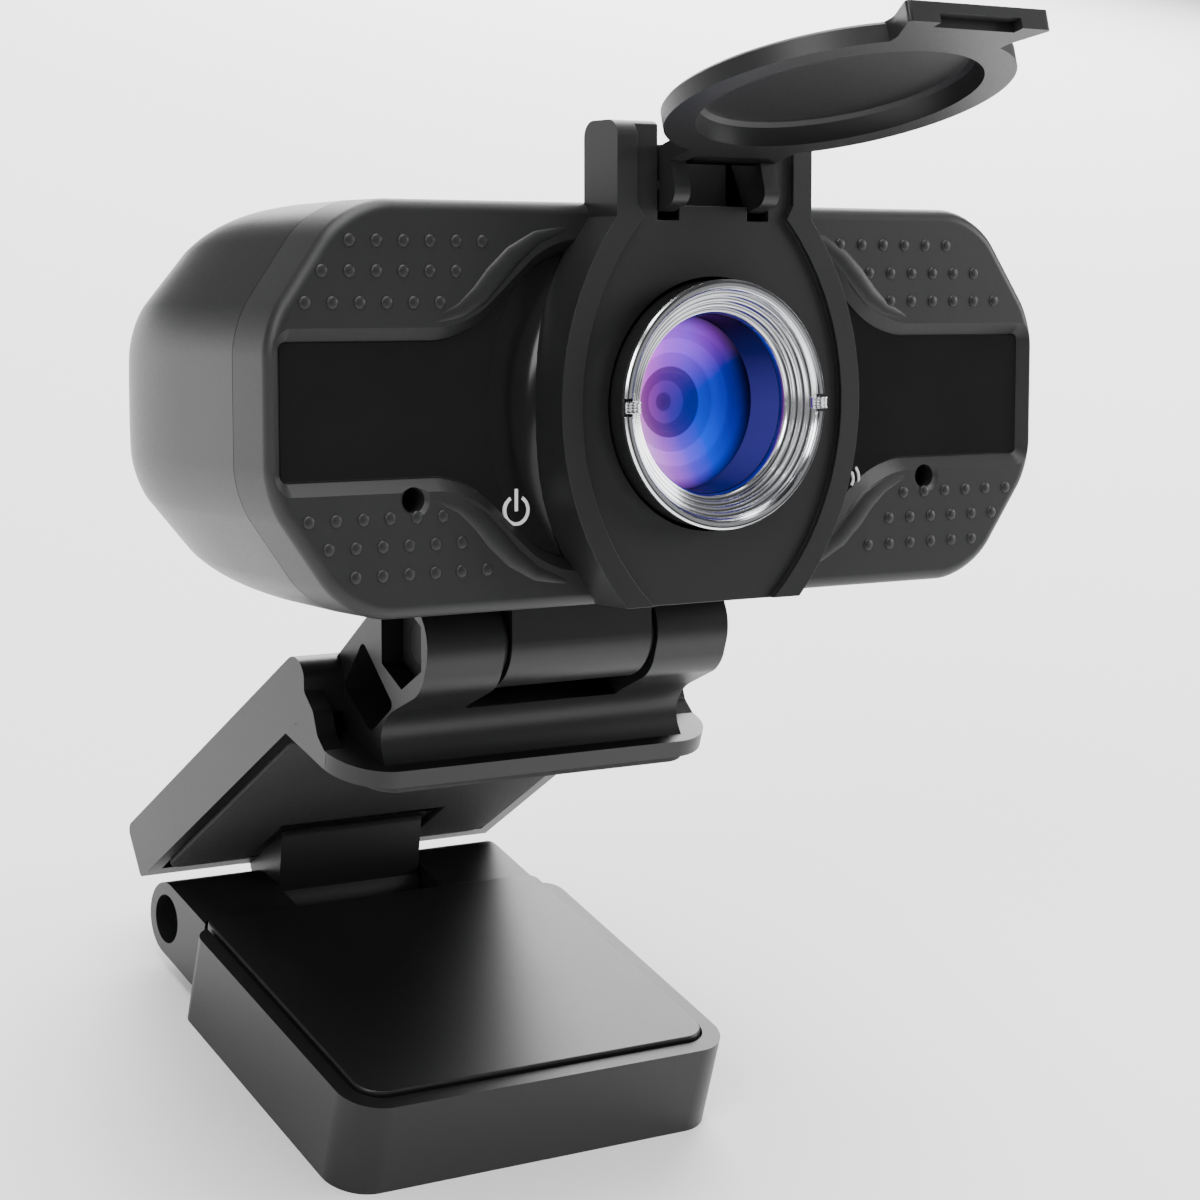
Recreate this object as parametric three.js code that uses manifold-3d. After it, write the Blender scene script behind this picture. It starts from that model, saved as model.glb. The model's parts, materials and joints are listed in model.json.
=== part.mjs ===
// Webcam with a flip-up privacy lid, on a folding monitor clip whose foot also stands on a desk.
// Millimetres, +X to the right of the face, +Y towards the back, +Z up.
// The origin is the centre of the foot's underside.

import * as THREE from 'three';
import { ParametricGeometry } from 'three/addons/geometries/ParametricGeometry.js';
import { mergeVertices } from 'three/addons/utils/BufferGeometryUtils.js';
import Module from 'manifold-3d';

const wasm = await Module();
wasm.setup();

// ---------------------------------------------------------------- driving dimensions

const fitGap = 0.3; // between pieces that seat on each other
const runGap = 0.4; // between pieces that move past each other
const cutOver = 1; // how far a cutting tool runs past the face that it cuts
const overlap = 0.4; // how far two bodies of one piece run into each other

// foot
const footWidth = 53;
const footLength = 42.4;
const footHeight = 11.5;
const footFrontRadius = 5;
const footRearRadius = 2.5;
const footWall = 2;
const footTopWall = 2.2;
const topPadRim = 2;
const topPadDepth = 0.9;
const topPadProud = 0.6;
const topPadRadius = 3.6;
const baseCoverThickness = 1.4;
const baseScrewInset = 8;
const tripodInsertForward = 9;
const tripodInsertRadius = 4.4;
const tripodThreadRadius = 3;
const tripodInsertHeight = 7;

// fold hinge between foot and clip
const foldAxisBack = 32.2;
const foldAxisHeight = 6.8;
const foldBarrelRadius = 4.65;
const foldPinRadius = 3;
const lugHalfWidth = footWidth / 2 - 2.3;
const foldPinInset = 3.5;

// clip
const clipWidth = footWidth - 1.6;
const legAngle = THREE.MathUtils.degToRad(49.4);
const legLength = 52.2;
const legThickness = 7.1;
const legInnerOffset = 6.2; // from the fold axis to the leg's inner face
const legBelowAxis = 1.1;
const legPadThickness = 1.6;
const legPadRim = 1.8;
const legPadProud = 0.3;
const legPocketDepth = 4.6;
const foldKnuckleHalfWidth = 10.3;
const lipTop = 46.8;
const lipThickness = 2.1;
const lipFront = -7.7;
const lipRadius = 6.5;
const lipPadThickness = 0.9;
const sideRimWidth = 2.5;
const earInner = 10.4;
const earOuter = 20.5;
const earRadius = 5.6;
const tiltAxisBack = -5;
const tiltAxisHeight = 61.2;

// tilt bolt, nut and washers
const boltRadius = 2.5;
const boltHeadRadius = 4.2;
const boltHeadHeight = 3;
const boltHeadSink = 1;
const nutAcrossFlats = 8;
const nutThickness = 4;
const nutSink = 2.6;
const nutTurn = THREE.MathUtils.degToRad(11.6);
const washerThickness = 0.6;
const washerRadius = 5;

// head, measured from the lens axis at the side edge of the face
const headTilt = THREE.MathUtils.degToRad(18.4);
const headWidth = 100;
const headHeight = 41.9;
const cornerAcross = 9;
const cornerDown = 12.5;
const cornerRadius = 9.5;
const faceProud = 1.4;
const bezelDepth = 6;
const bezelWall = 2.2;
const shellRear = 44;
const shellWall = 2;
const shellSquareness = 5.3; // seen from above
const shellCrown = 4.5; // seen from the side
const softPower = 3; // of the superellipse that they melt into
const shellSoftening = 0.35; // how far the cut corners melt away towards the rear
const pivotBack = 23.9;
const pivotDrop = 27.1;
const panelHalfLength = headWidth / 2 - 1.7;
const panelHalfHeight = 7;
const panelShoulderStart = 31;
const panelShoulderEnd = 14;
const panelShoulderHeight = 16;
const panelThickness = 0.9;
const panelFace = -0.2;
const micOffset = panelHalfLength - 14.7;
const micDrop = 9;
const micHoleRadius = 1.3;

// base of the privacy cover, around the lens
const coverFront = -6.6;
const coverBack = -0.5;
const coverHalfWidth = 19.4;
const coverSideRadius = 31;
const coverBandWidth = 2.5;
const coverBandHeight = 0.6;
const postOuter = 12.6;
const postInner = 7.2;
const postTop = 29.2;
const postFlare = 19.4;
const neckTop = 20.6;
const knuckleSlotFloor = 19.1;
const knuckleSlotInner = 4.4;
const neckWallThickness = 1.8;
const neckWallTop = 27;

// privacy lid
const lidAxisFront = -5.2;
const lidAxisHeight = 22.65;
const lidOpen = THREE.MathUtils.degToRad(15.5); // above the head's own horizontal
const lidRadius = 17.5;
const lidRimThickness = 2;
const lidRecessRadius = lidRadius - 3.2;
const lidRecessDepth = 2.3;
const lidCrownWall = 1.2;
const lidTabReach = 21.4;
const lidTabHalfWidth = 8.8;
const lidTabNeck = 6.8;
const lidKnuckleRadius = 2.7;
const lidPivotRadius = 0.6;
const lidPivotReach = 1.5;
const gripSlotHalfWidth = 5;
const gripSlotHeight = 1;
const gripSlotDepth = 1.2;

// lens
const lensBarrelRadius = 12.9;
const coverHoleRadius = lensBarrelRadius + runGap;
const lensBarrelFront = -8;
const lensBarrelRear = 9;
const ringLipRadius = lensBarrelRadius + 0.15;
const ringFront = -8.7;
const ringInnerRadius = lensBarrelRadius - 3.45;
const ringInnerFace = -5.8;
const ringSeatRadius = lensBarrelRadius - 0.9;
const frontLensRadius = ringInnerRadius - 0.05;
const frontLensVertex = -1.6;
const frontLensSag = 1.2;
const frontLensThickness = 2.6;
const stopRadius = 3.6;
const imagingLensRadius = 6;

// electronics
const boardFront = 18;
const boardThickness = 1.2;
const boardWidth = headWidth - 26;
const boardHeight = 27;
const boardPostX = boardWidth / 2 - 10;
const boardPostZ = 10;
const boardPostRadius = 2.8;
const boardScrewRadius = 1;
const shellScrewX = headWidth / 2 - 9;
const shellScrewRadius = 1.25;
const shellScrewBossRadius = 3.2;
const shellScrewSeat = 20;
const ledX = -20.5;
const ledZ = -10.3;
const glandHeight = 0;
const glandRadius = 4.6;
const glandBore = 2.2;
const swivelStubRadius = 4;
const swivelBossRadius = 8.6;
const swivelStubLength = 6.4;

// ---------------------------------------------------------------- materials

const finishes = {
  satinBlack: { color: 0x1c1c1e, roughness: 0.5, metalness: 0 },
  faceBlack: { color: 0x242426, roughness: 0.55, metalness: 0 },
  glossBlack: { color: 0x08080a, roughness: 0.12, metalness: 0 },
  rubberBlack: { color: 0x141414, roughness: 0.85, metalness: 0 },
  silver: { color: 0xd4d6da, roughness: 0.2, metalness: 1 },
  steel: { color: 0x8f9296, roughness: 0.35, metalness: 1 },
  brass: { color: 0xb8923a, roughness: 0.35, metalness: 1 },
  coatedGlass: { color: 0x3c3ad0, roughness: 0.05, metalness: 0 },
  board: { color: 0x0f5a32, roughness: 0.55, metalness: 0 },
  ceramic: { color: 0x303036, roughness: 0.4, metalness: 0 },
  clear: { color: 0xe8eef2, roughness: 0.1, metalness: 0 },
};

// ---------------------------------------------------------------- solids

// Turns a closed geometry into a solid, whichever way round its faces were wound.
function solid(geometry) {
  const bare = geometry.clone();
  bare.deleteAttribute('normal');
  bare.deleteAttribute('uv');
  const merged = mergeVertices(bare, 1e-4);
  const points = merged.attributes.position.array;
  const corners = [];
  let volume = 0;
  for (let i = 0; i < merged.index.count; i += 3) {
    const [a, b, c] = [0, 1, 2].map((k) => merged.index.getX(i + k));
    if (a === b || b === c || c === a) continue;
    corners.push(a, b, c);
    const [pa, pb, pc] = [a, b, c].map((k) => new THREE.Vector3().fromArray(points, 3 * k));
    volume += pa.dot(pb.cross(pc));
  }
  if (volume < 0) corners.reverse();
  const mesh = new wasm.Mesh({
    numProp: 3,
    vertProperties: new Float32Array(points),
    triVerts: new Uint32Array(corners),
  });
  return new wasm.Manifold(mesh);
}

function union(...solids) {
  return solids.reduce((whole, next) => whole.add(next));
}

function cut(body, ...tools) {
  return tools.reduce((rest, tool) => rest.subtract(tool), body);
}

function geometryOf(body) {
  const mesh = body.getMesh();
  const geometry = new THREE.BufferGeometry();
  const points = new Float32Array(mesh.numVert * 3);
  for (let i = 0; i < mesh.numVert; i += 1) {
    for (let k = 0; k < 3; k += 1) points[3 * i + k] = mesh.vertProperties[mesh.numProp * i + k];
  }
  geometry.setAttribute('position', new THREE.BufferAttribute(points, 3));
  geometry.setIndex(new THREE.BufferAttribute(new Uint32Array(mesh.triVerts), 1));
  geometry.computeVertexNormals();
  return geometry;
}

// Rounds the corners of an outline. Each corner is [x, y] or [x, y, radius].
function rounded(corners, steps = 4) {
  const outline = [];
  corners.forEach(([x, y, radius = 0], i) => {
    const corner = new THREE.Vector2(x, y);
    const before = corners[(i + corners.length - 1) % corners.length];
    const after = corners[(i + 1) % corners.length];
    const back = new THREE.Vector2(before[0], before[1]).sub(corner);
    const ahead = new THREE.Vector2(after[0], after[1]).sub(corner);
    const cosine = back.clone().normalize().dot(ahead.clone().normalize());
    const half = Math.acos(THREE.MathUtils.clamp(cosine, -1, 1)) / 2;
    const reach = Math.min(radius / Math.tan(half), back.length() * 0.49, ahead.length() * 0.49);
    if (reach < 0.01) {
      outline.push(corner);
      return;
    }
    const start = corner.clone().addScaledVector(back.normalize(), reach);
    const end = corner.clone().addScaledVector(ahead.normalize(), reach);
    const fitted = reach * Math.tan(half);
    const middle = back.add(ahead).normalize();
    const centre = corner.clone().addScaledVector(middle, fitted / Math.sin(half));
    const first = start.sub(centre);
    const last = end.sub(centre);
    const turn = Math.atan2(first.x * last.y - first.y * last.x, first.dot(last));
    for (let k = 0; k <= steps; k += 1) {
      outline.push(first.clone().rotateAround(new THREE.Vector2(), (turn * k) / steps).add(centre));
    }
  });
  return outline;
}

function circle(x, y, radius, steps = 32) {
  return Array.from({ length: steps }, (_, k) => {
    const angle = (2 * Math.PI * k) / steps;
    return new THREE.Vector2(x + radius * Math.cos(angle), y + radius * Math.sin(angle));
  });
}

function extruded(outline, depth, bevel = 0, bevelSteps = 1) {
  return new THREE.ExtrudeGeometry(new THREE.Shape(outline), {
    depth,
    steps: 1,
    bevelEnabled: bevel > 0,
    bevelThickness: bevel,
    bevelSize: bevel,
    bevelSegments: bevelSteps,
  });
}

// A side outline of (y, z) points, extruded from x0 to x1.
function alongX(outline, x0, x1) {
  const axes = new THREE.Matrix4().set(0, 0, 1, x0, 1, 0, 0, 0, 0, 1, 0, 0, 0, 0, 0, 1);
  return solid(extruded(outline, x1 - x0).applyMatrix4(axes));
}

// A front outline of (x, z) points, extruded from the front y0 to the back y1.
function alongY(outline, y0, y1) {
  const axes = new THREE.Matrix4().set(1, 0, 0, 0, 0, 0, -1, y1, 0, 1, 0, 0, 0, 0, 0, 1);
  return solid(extruded(outline, y1 - y0).applyMatrix4(axes));
}

// A plan outline of (x, y) points, extruded from z0 to z1.
function alongZ(outline, z0, z1) {
  return solid(extruded(outline, z1 - z0).translate(0, 0, z0));
}

// A closed profile of [radius, position] points, turned about the Y axis.
function turned(profile, steps = 36) {
  const closed = [...profile, profile[0]].map(([r, y]) => new THREE.Vector2(r, y));
  return solid(new THREE.LatheGeometry(closed, steps));
}

// The same, turned about the X axis or the Z axis.
function turnedX(profile, steps = 24) {
  const closed = [...profile, profile[0]].map(([r, x]) => new THREE.Vector2(r, x));
  return solid(new THREE.LatheGeometry(closed, steps).rotateZ(-Math.PI / 2));
}

function turnedZ(profile, steps = 24) {
  const closed = [...profile, profile[0]].map(([r, z]) => new THREE.Vector2(r, z));
  return solid(new THREE.LatheGeometry(closed, steps).rotateX(Math.PI / 2));
}

// A plain round rod as a profile for the turned functions.
function rod(radius, from, to) {
  return [[0, from], [radius, from], [radius, to], [0, to]];
}

function tube(outer, inner, from, to) {
  return [[inner, from], [outer, from], [outer, to], [inner, to]];
}

function box(x0, x1, y0, y1, z0, z1) {
  const geometry = new THREE.BoxGeometry(x1 - x0, y1 - y0, z1 - z0);
  return solid(geometry.translate((x0 + x1) / 2, (y0 + y1) / 2, (z0 + z1) / 2));
}

function atFold(body) {
  return body.translate(0, foldAxisBack, foldAxisHeight);
}

function atTilt(body) {
  return body.translate(0, tiltAxisBack, tiltAxisHeight);
}

function mirroredPair(make) {
  return union(make(-1), make(1));
}

function between(a, b) {
  return [Math.min(a, b), Math.max(a, b)];
}

function piece(name, body, finish, group) {
  const mesh = new THREE.Mesh(geometryOf(body), new THREE.MeshStandardMaterial(finishes[finish]));
  mesh.name = name;
  group.add(mesh);
  return mesh;
}

// ---------------------------------------------------------------- groups

const webcam = new THREE.Group();
const foot = new THREE.Group();
const clip = new THREE.Group();
const knuckle = new THREE.Group();
const head = new THREE.Group();
const lid = new THREE.Group();
webcam.add(foot, clip, knuckle);
knuckle.position.set(0, tiltAxisBack, tiltAxisHeight);
knuckle.rotation.x = -headTilt;
knuckle.add(head);
head.position.set(0, -pivotBack, pivotDrop);
head.add(lid);
lid.position.set(0, lidAxisFront, lidAxisHeight);
lid.rotation.x = -lidOpen;

// ---------------------------------------------------------------- foot

function footOutline(inset) {
  const x = footWidth / 2 - inset;
  const y = footLength / 2 - inset;
  const front = Math.max(footFrontRadius - inset, 0.5);
  const rear = Math.max(footRearRadius - inset, 0.5);
  return rounded([[-x, -y, front], [x, -y, front], [x, y, rear], [-x, y, rear]]);
}

function topPadOutline(inset) {
  const x = footWidth / 2 - topPadRim - inset;
  const front = -footLength / 2 + topPadRim + inset;
  const rear = footLength / 2 + topPadRim - inset;
  const radius = topPadRadius - inset;
  const [near, far] = [radius, radius / 2];
  return rounded([[-x, front, near], [x, front, near], [x, rear, far], [-x, rear, far]]);
}

const topPadSeat = footHeight - topPadDepth;
const pocketTop = topPadSeat - footTopWall;
const lugBottom = foldAxisHeight - foldBarrelRadius;
const lugTop = foldAxisHeight + foldBarrelRadius;
const baseScrewBack = footLength / 2 - baseScrewInset;
const baseScrews = [-1, 1].map((side) => [side * (footWidth / 2 - baseScrewInset), baseScrewBack]);
const foldKnuckleSpace = foldKnuckleHalfWidth + runGap;
const foldKnuckleReach = foldBarrelRadius + runGap + 0.4;

function makeFootShell() {
  const lugOutline = [
    new THREE.Vector2(footLength / 2 - overlap, lugBottom),
    new THREE.Vector2(foldAxisBack, lugBottom),
    new THREE.Vector2(foldAxisBack, lugTop),
    new THREE.Vector2(footLength / 2 - overlap, lugTop),
  ];
  const lugs = alongX(lugOutline, -lugHalfWidth, lugHalfWidth);
  const barrel = atFold(turnedX(rod(foldBarrelRadius, -lugHalfWidth, lugHalfWidth)));
  const knuckleSpace = union(
    atFold(turnedX(rod(foldKnuckleReach, -foldKnuckleSpace, foldKnuckleSpace))),
    box(-foldKnuckleSpace, foldKnuckleSpace, footLength / 2 + topPadRim + runGap, foldAxisBack + 10, -1, 20),
  );
  const body = union(alongZ(footOutline(0), 0, footHeight), lugs, barrel);
  const pinBore = turnedX(rod(foldPinRadius + fitGap / 3, -footWidth, footWidth));
  const boss = turnedZ(rod(2.6, baseCoverThickness + fitGap, pocketTop + overlap), 20);
  const bosses = baseScrews.map(([x, y]) => boss.translate(x, y, 0));
  const pocket = cut(alongZ(footOutline(footWall), -cutOver, pocketTop), ...bosses);
  const screwHoles = baseScrews.map(([x, y]) => turnedZ(rod(1.15, 0, pocketTop - 1), 16).translate(x, y, 0));
  return cut(
    body,
    alongZ(topPadOutline(0), topPadSeat, footHeight + 5),
    pocket,
    knuckleSpace,
    atFold(pinBore),
    ...screwHoles,
  );
}

function makeBaseCover() {
  const plate = alongZ(footOutline(footWall + fitGap), 0, baseCoverThickness);
  const insertRod = turnedZ(rod(tripodInsertRadius + fitGap, -cutOver, 5), 28);
  const insertHole = insertRod.translate(0, -tripodInsertForward, 0);
  const screwHoles = baseScrews.map(([x, y]) =>
    turnedZ([[0, -cutOver], [2.1, -cutOver], [2.1, 0.1], [1.25, 0.9], [1.25, 5], [0, 5]], 20).translate(x, y, 0));
  return cut(plate, insertHole, ...screwHoles);
}

function makeBaseScrew(x, y) {
  const profile = [[0, 0.15], [1.8, 0.15], [1.8, 0.3], [1, 1.1], [0.95, 7], [0, 7]];
  const slot = box(-1.3, 1.3, -0.25, 0.25, -1, 0.6);
  return cut(turnedZ(profile, 20), slot).translate(x, y, 0);
}

function makeTripodInsert() {
  const flange = tripodInsertRadius;
  const body = turnedZ([
    [tripodThreadRadius, 0.3],
    [flange, 0.3],
    [flange, tripodInsertHeight],
    [tripodThreadRadius, tripodInsertHeight],
  ], 28);
  return body.translate(0, -tripodInsertForward, 0);
}

function makeTripodBoss() {
  const [outer, inner] = [tripodInsertRadius + 2, tripodInsertRadius + fitGap / 2];
  const boss = turnedZ(tube(outer, inner, baseCoverThickness + fitGap, pocketTop + overlap), 28);
  return boss.translate(0, -tripodInsertForward, 0);
}

piece('foot_shell', union(makeFootShell(), makeTripodBoss()), 'satinBlack', foot);
const topPad = alongZ(topPadOutline(fitGap), topPadSeat + fitGap / 2, footHeight + topPadProud);
piece('foot_top_pad', topPad, 'satinBlack', foot);
piece('foot_base_cover', makeBaseCover(), 'rubberBlack', foot);
piece('tripod_insert', makeTripodInsert(), 'brass', foot);
baseScrews.forEach(([x, y], i) => piece(`base_screw_${['left', 'right'][i]}`, makeBaseScrew(x, y), 'steel', foot));
const foldPinEnd = lugHalfWidth - foldPinInset;
piece('fold_pin', atFold(turnedX(rod(foldPinRadius, -foldPinEnd, foldPinEnd))), 'steel', foot);

// ---------------------------------------------------------------- clip

// A point on the leg: up along it from the fold axis, and out towards its back face.
function legPoint(up, out, radius = 0) {
  return [
    foldAxisBack - up * Math.cos(legAngle) + out * Math.sin(legAngle),
    foldAxisHeight + up * Math.sin(legAngle) + out * Math.cos(legAngle),
    radius,
  ];
}

// The height above the fold axis, along the leg's back face, at which that face reaches a given z.
function legUpAtHeight(z, out) {
  return (z - foldAxisHeight - out * Math.cos(legAngle)) / Math.sin(legAngle);
}

const legOuterOffset = legInnerOffset + legThickness;
const clipHalfWidth = clipWidth / 2;
const lipBottom = lipTop - lipThickness;
const legInnerTop = legUpAtHeight(lipBottom + 4, legInnerOffset);
const legPadLow = legBelowAxis + 0.5;
const legPadHigh = legUpAtHeight(lipBottom - 2, legInnerOffset);

function makeLegSlab() {
  const outline = rounded([
    legPoint(-legBelowAxis, legInnerOffset, 0.6),
    legPoint(-legBelowAxis, legOuterOffset, 1.2),
    legPoint(legLength, legOuterOffset, 2.4),
    legPoint(legLength, legOuterOffset - 3.2, 1.5),
    legPoint(legInnerTop, legInnerOffset, 0.5),
  ]);
  return alongX(outline, -clipHalfWidth, clipHalfWidth);
}

function makeLip() {
  const joint = legPoint(legUpAtHeight(lipTop, legInnerOffset), legInnerOffset);
  const plan = rounded([
    [-clipHalfWidth, lipFront, lipRadius],
    [clipHalfWidth, lipFront, lipRadius],
    [clipHalfWidth, joint[0] + 2],
    [-clipHalfWidth, joint[0] + 2],
  ], 8);
  return alongZ(plan, lipBottom, lipTop);
}

// The raised rim down each side, an S from the top of the leg to the lip.
function makeSideRim(side) {
  const [apexBack, apexTop] = legPoint(legLength, legOuterOffset - 2.4);
  const root = legPoint(legInnerTop, legInnerOffset);
  const outline = rounded([
    [apexBack + 1.6, apexTop - 2],
    [apexBack + 0.2, apexTop + 0.1, 1],
    [apexBack - 1.2, lipTop + 4.4, 1.6],
    [apexBack - 3.8, lipTop + 3.1, 1.6],
    [apexBack - 5.5, lipTop + 0.9, 1.4],
    [apexBack - 8.1, lipTop - 0.3, 1.2],
    [apexBack - 8.1, lipBottom + 0.4],
    [root[0] - 4, lipBottom + 0.6, 3],
    legPoint(legInnerTop - 2.5, legInnerOffset + 0.3),
  ]);
  return alongX(outline, ...between(side * (clipHalfWidth - sideRimWidth), side * clipHalfWidth));
}

// The two ears rise from one column, which closes down to the lip in a hollow curve.
function makeEarColumn() {
  const backTop = legPoint(legUpAtHeight(tiltAxisHeight + 1, legOuterOffset), legOuterOffset, 3);
  const front = tiltAxisBack - earRadius;
  const lowCorner = legPoint(legUpAtHeight(lipTop + 0.2, legOuterOffset), legOuterOffset - 2);
  const outline = rounded([
    [tiltAxisBack, tiltAxisHeight + earRadius - 0.05],
    [tiltAxisBack, tiltAxisHeight],
    [front, tiltAxisHeight],
    [front, tiltAxisHeight - 3.4, 4],
    [tiltAxisBack + 4.2, lipTop + 2.4, 6],
    [lipFront + 0.9, lipTop - 0.5],
    [lipFront + 0.9, lipBottom + 0.5],
    [lowCorner[0] - 6, lipBottom + 0.5],
    lowCorner,
    backTop,
  ], 8);
  const round = atTilt(turnedX(rod(earRadius, -earOuter, earOuter), 44));
  return union(alongX(outline, -earOuter, earOuter), round);
}

// A three-cornered hollow in each side of the column, between the ear and the back rib.
function makeEarHollow(side) {
  const outline = rounded([
    [tiltAxisBack + 8, tiltAxisHeight - 3, 0.8],
    [tiltAxisBack - 0.6, tiltAxisHeight - 7.2, 0.8],
    [tiltAxisBack + 3.2, lipTop + 2.2, 1],
    [tiltAxisBack + 10.5, lipTop + 4.6, 1],
  ]);
  return alongX(outline, ...between(side * (earInner + 2), side * (earOuter + cutOver)));
}

function makeFoldKnuckle() {
  const barrel = atFold(turnedX(rod(foldBarrelRadius, -foldKnuckleHalfWidth, foldKnuckleHalfWidth)));
  const start = foldBarrelRadius - 0.4;
  const outline = rounded([
    legPoint(-1.5, start - 3),
    legPoint(start, -0.4, 1),
    legPoint(9.5, legInnerOffset - 0.1, 3),
    legPoint(11.5, legInnerOffset + 1.2),
    legPoint(-0.6, legInnerOffset + 2),
  ]);
  return union(barrel, alongX(outline, -foldKnuckleHalfWidth, foldKnuckleHalfWidth));
}

function legPadShape(inset, lowOut, highOut) {
  const outline = [
    legPoint(legPadLow + inset, lowOut),
    legPoint(legPadHigh - inset, lowOut),
    legPoint(legPadHigh - inset, highOut),
    legPoint(legPadLow + inset, highOut),
  ].map(([y, z]) => new THREE.Vector2(y, z));
  const halfWidth = clipHalfWidth - legPadRim - inset;
  return alongX(outline, -halfWidth, halfWidth);
}

function legPadNotch(gap) {
  const outline = [
    legPoint(-6, -2),
    legPoint(11.5 + gap, -2),
    legPoint(11.5 + gap, legOuterOffset - 1.5),
    legPoint(-6, legOuterOffset - 1.5),
  ].map(([y, z]) => new THREE.Vector2(y, z));
  return alongX(outline, -foldKnuckleHalfWidth - gap, foldKnuckleHalfWidth + gap);
}

function makeClipBracket() {
  const pocket = cut(
    legPadShape(0, legInnerOffset - 2, legInnerOffset + legPocketDepth),
    legPadNotch(1.2),
  );
  const turnRadius = Math.hypot(earRadius, pivotDrop - headHeight / 2) + runGap;
  const middle = box(-earInner, earInner, -40, tiltAxisBack + 9.4, tiltAxisHeight - turnRadius, 90);
  const turnSpace = atTilt(turnedX(rod(turnRadius, -earInner, earInner), 40));
  const outside = earOuter + cutOver;
  const nutShape = hexagon(nutAcrossFlats / 2 + fitGap, nutTurn);
  const nutPocket = atTilt(alongX(nutShape, -outside, -earOuter + nutSink + nutThickness + fitGap));
  const headSeat = earOuter - boltHeadSink - boltHeadHeight - fitGap;
  const headPocket = atTilt(turnedX(rod(boltHeadRadius + fitGap, headSeat, outside), 28));
  const boltBore = atTilt(turnedX(rod(boltRadius + fitGap / 2, -outside, outside), 24));
  const foldBore = atFold(turnedX(rod(foldPinRadius + 0.1, -earOuter, earOuter)));
  const frame = cut(union(makeLegSlab(), makeLip(), mirroredPair(makeSideRim), makeEarColumn()), pocket);
  return cut(
    union(frame, makeFoldKnuckle()),
    makeEarHollow(-1),
    makeEarHollow(1),
    middle,
    turnSpace,
    nutPocket,
    headPocket,
    boltBore,
    foldBore,
  );
}

function hexagon(flatRadius, turn) {
  return circle(0, 0, flatRadius / Math.cos(Math.PI / 6), 6).map((p) => p.rotateAround(new THREE.Vector2(), turn));
}

function makeLegPad() {
  const pad = legPadShape(fitGap, legInnerOffset - legPadProud, legInnerOffset - legPadProud + legPadThickness);
  return cut(pad, legPadNotch(1.6));
}

function makeLipPad() {
  const inset = 3.6;
  const rear = legPoint(legUpAtHeight(lipBottom, legInnerOffset), legInnerOffset)[0] - 5;
  const outline = rounded([
    [-clipHalfWidth + inset, lipFront + 0.6, 3],
    [clipHalfWidth - inset, lipFront + 0.6, 3],
    [clipHalfWidth - inset, rear, 1],
    [-clipHalfWidth + inset, rear, 1],
  ]);
  return alongZ(outline, lipBottom - fitGap / 3 - lipPadThickness, lipBottom - fitGap / 3);
}

function makeTiltBolt() {
  const headEnd = earOuter - boltHeadSink;
  const nutEnd = -earOuter + nutSink;
  const shape = union(
    turnedX(rod(boltRadius, nutEnd, headEnd), 24),
    turnedX([
      [0, headEnd - boltHeadHeight],
      [boltHeadRadius, headEnd - boltHeadHeight],
      [boltHeadRadius, headEnd - 1],
      [boltHeadRadius - 1, headEnd],
      [0, headEnd],
    ], 28),
  );
  const crossSlot = union(
    box(headEnd - 1.4, headEnd + 1, -2.6, 2.6, -0.45, 0.45),
    box(headEnd - 1.4, headEnd + 1, -0.45, 0.45, -2.6, 2.6),
  );
  return atTilt(cut(shape, crossSlot));
}

function makeTiltNut() {
  const start = -earOuter + nutSink;
  return atTilt(cut(
    alongX(hexagon(nutAcrossFlats / 2, nutTurn), start, start + nutThickness),
    turnedX(rod(boltRadius + 0.06, -earOuter, 0), 24),
  ));
}

piece('clip_bracket', makeClipBracket(), 'satinBlack', clip);
piece('leg_pad', makeLegPad(), 'rubberBlack', clip);
piece('lip_pad', makeLipPad(), 'rubberBlack', clip);
piece('tilt_bolt', makeTiltBolt(), 'steel', clip);
piece('tilt_nut', makeTiltNut(), 'steel', clip);

// ---------------------------------------------------------------- tilt knuckle, in the head's own level frame

const knuckleHalfWidth = earInner - washerThickness - fitGap;
const headUnderside = pivotDrop - headHeight / 2; // above the tilt axis

function makeTiltKnuckle() {
  const neckTopHeight = headUnderside - fitGap;
  const barrel = turnedX(rod(earRadius, -knuckleHalfWidth, knuckleHalfWidth), 32);
  const neck = box(-knuckleHalfWidth, knuckleHalfWidth, -earRadius, earRadius, 0, neckTopHeight);
  const stub = turnedZ(rod(swivelStubRadius, neckTopHeight - overlap, neckTopHeight + swivelStubLength));
  const bore = turnedX(rod(boltRadius + 0.1, -20, 20), 24);
  const screwHole = turnedZ(rod(1.3, neckTopHeight, neckTopHeight + swivelStubLength + cutOver), 16);
  return cut(union(barrel, neck, stub), bore, screwHole);
}

function makeSwivelScrew() {
  const seat = headUnderside - fitGap + swivelStubLength + 0.9;
  const profile = [[0, seat - 6], [1.1, seat - 6], [1.1, seat], [2.6, seat], [2.6, seat + 1], [2, seat + 1.6], [0, seat + 1.6]];
  return cut(turnedZ(profile, 24), box(-1.6, 1.6, -0.3, 0.3, seat + 0.9, seat + 3));
}

function makeSwivelWasher() {
  const seat = headUnderside - fitGap + swivelStubLength + 0.1;
  return turnedZ(tube(6.2, 1.4, seat, seat + 0.7), 32);
}

piece('tilt_knuckle', makeTiltKnuckle(), 'satinBlack', knuckle);
piece('swivel_washer', makeSwivelWasher(), 'steel', knuckle);
piece('swivel_screw', makeSwivelScrew(), 'steel', knuckle);
[-1, 1].forEach((side) => {
  const inner = side * (knuckleHalfWidth + fitGap / 2);
  const washer = turnedX(tube(washerRadius, boltRadius + 0.1, ...between(inner, inner + side * washerThickness)), 28);
  piece(`friction_washer_${side < 0 ? 'left' : 'right'}`, washer, 'steel', knuckle);
});

// ---------------------------------------------------------------- head housing

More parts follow.
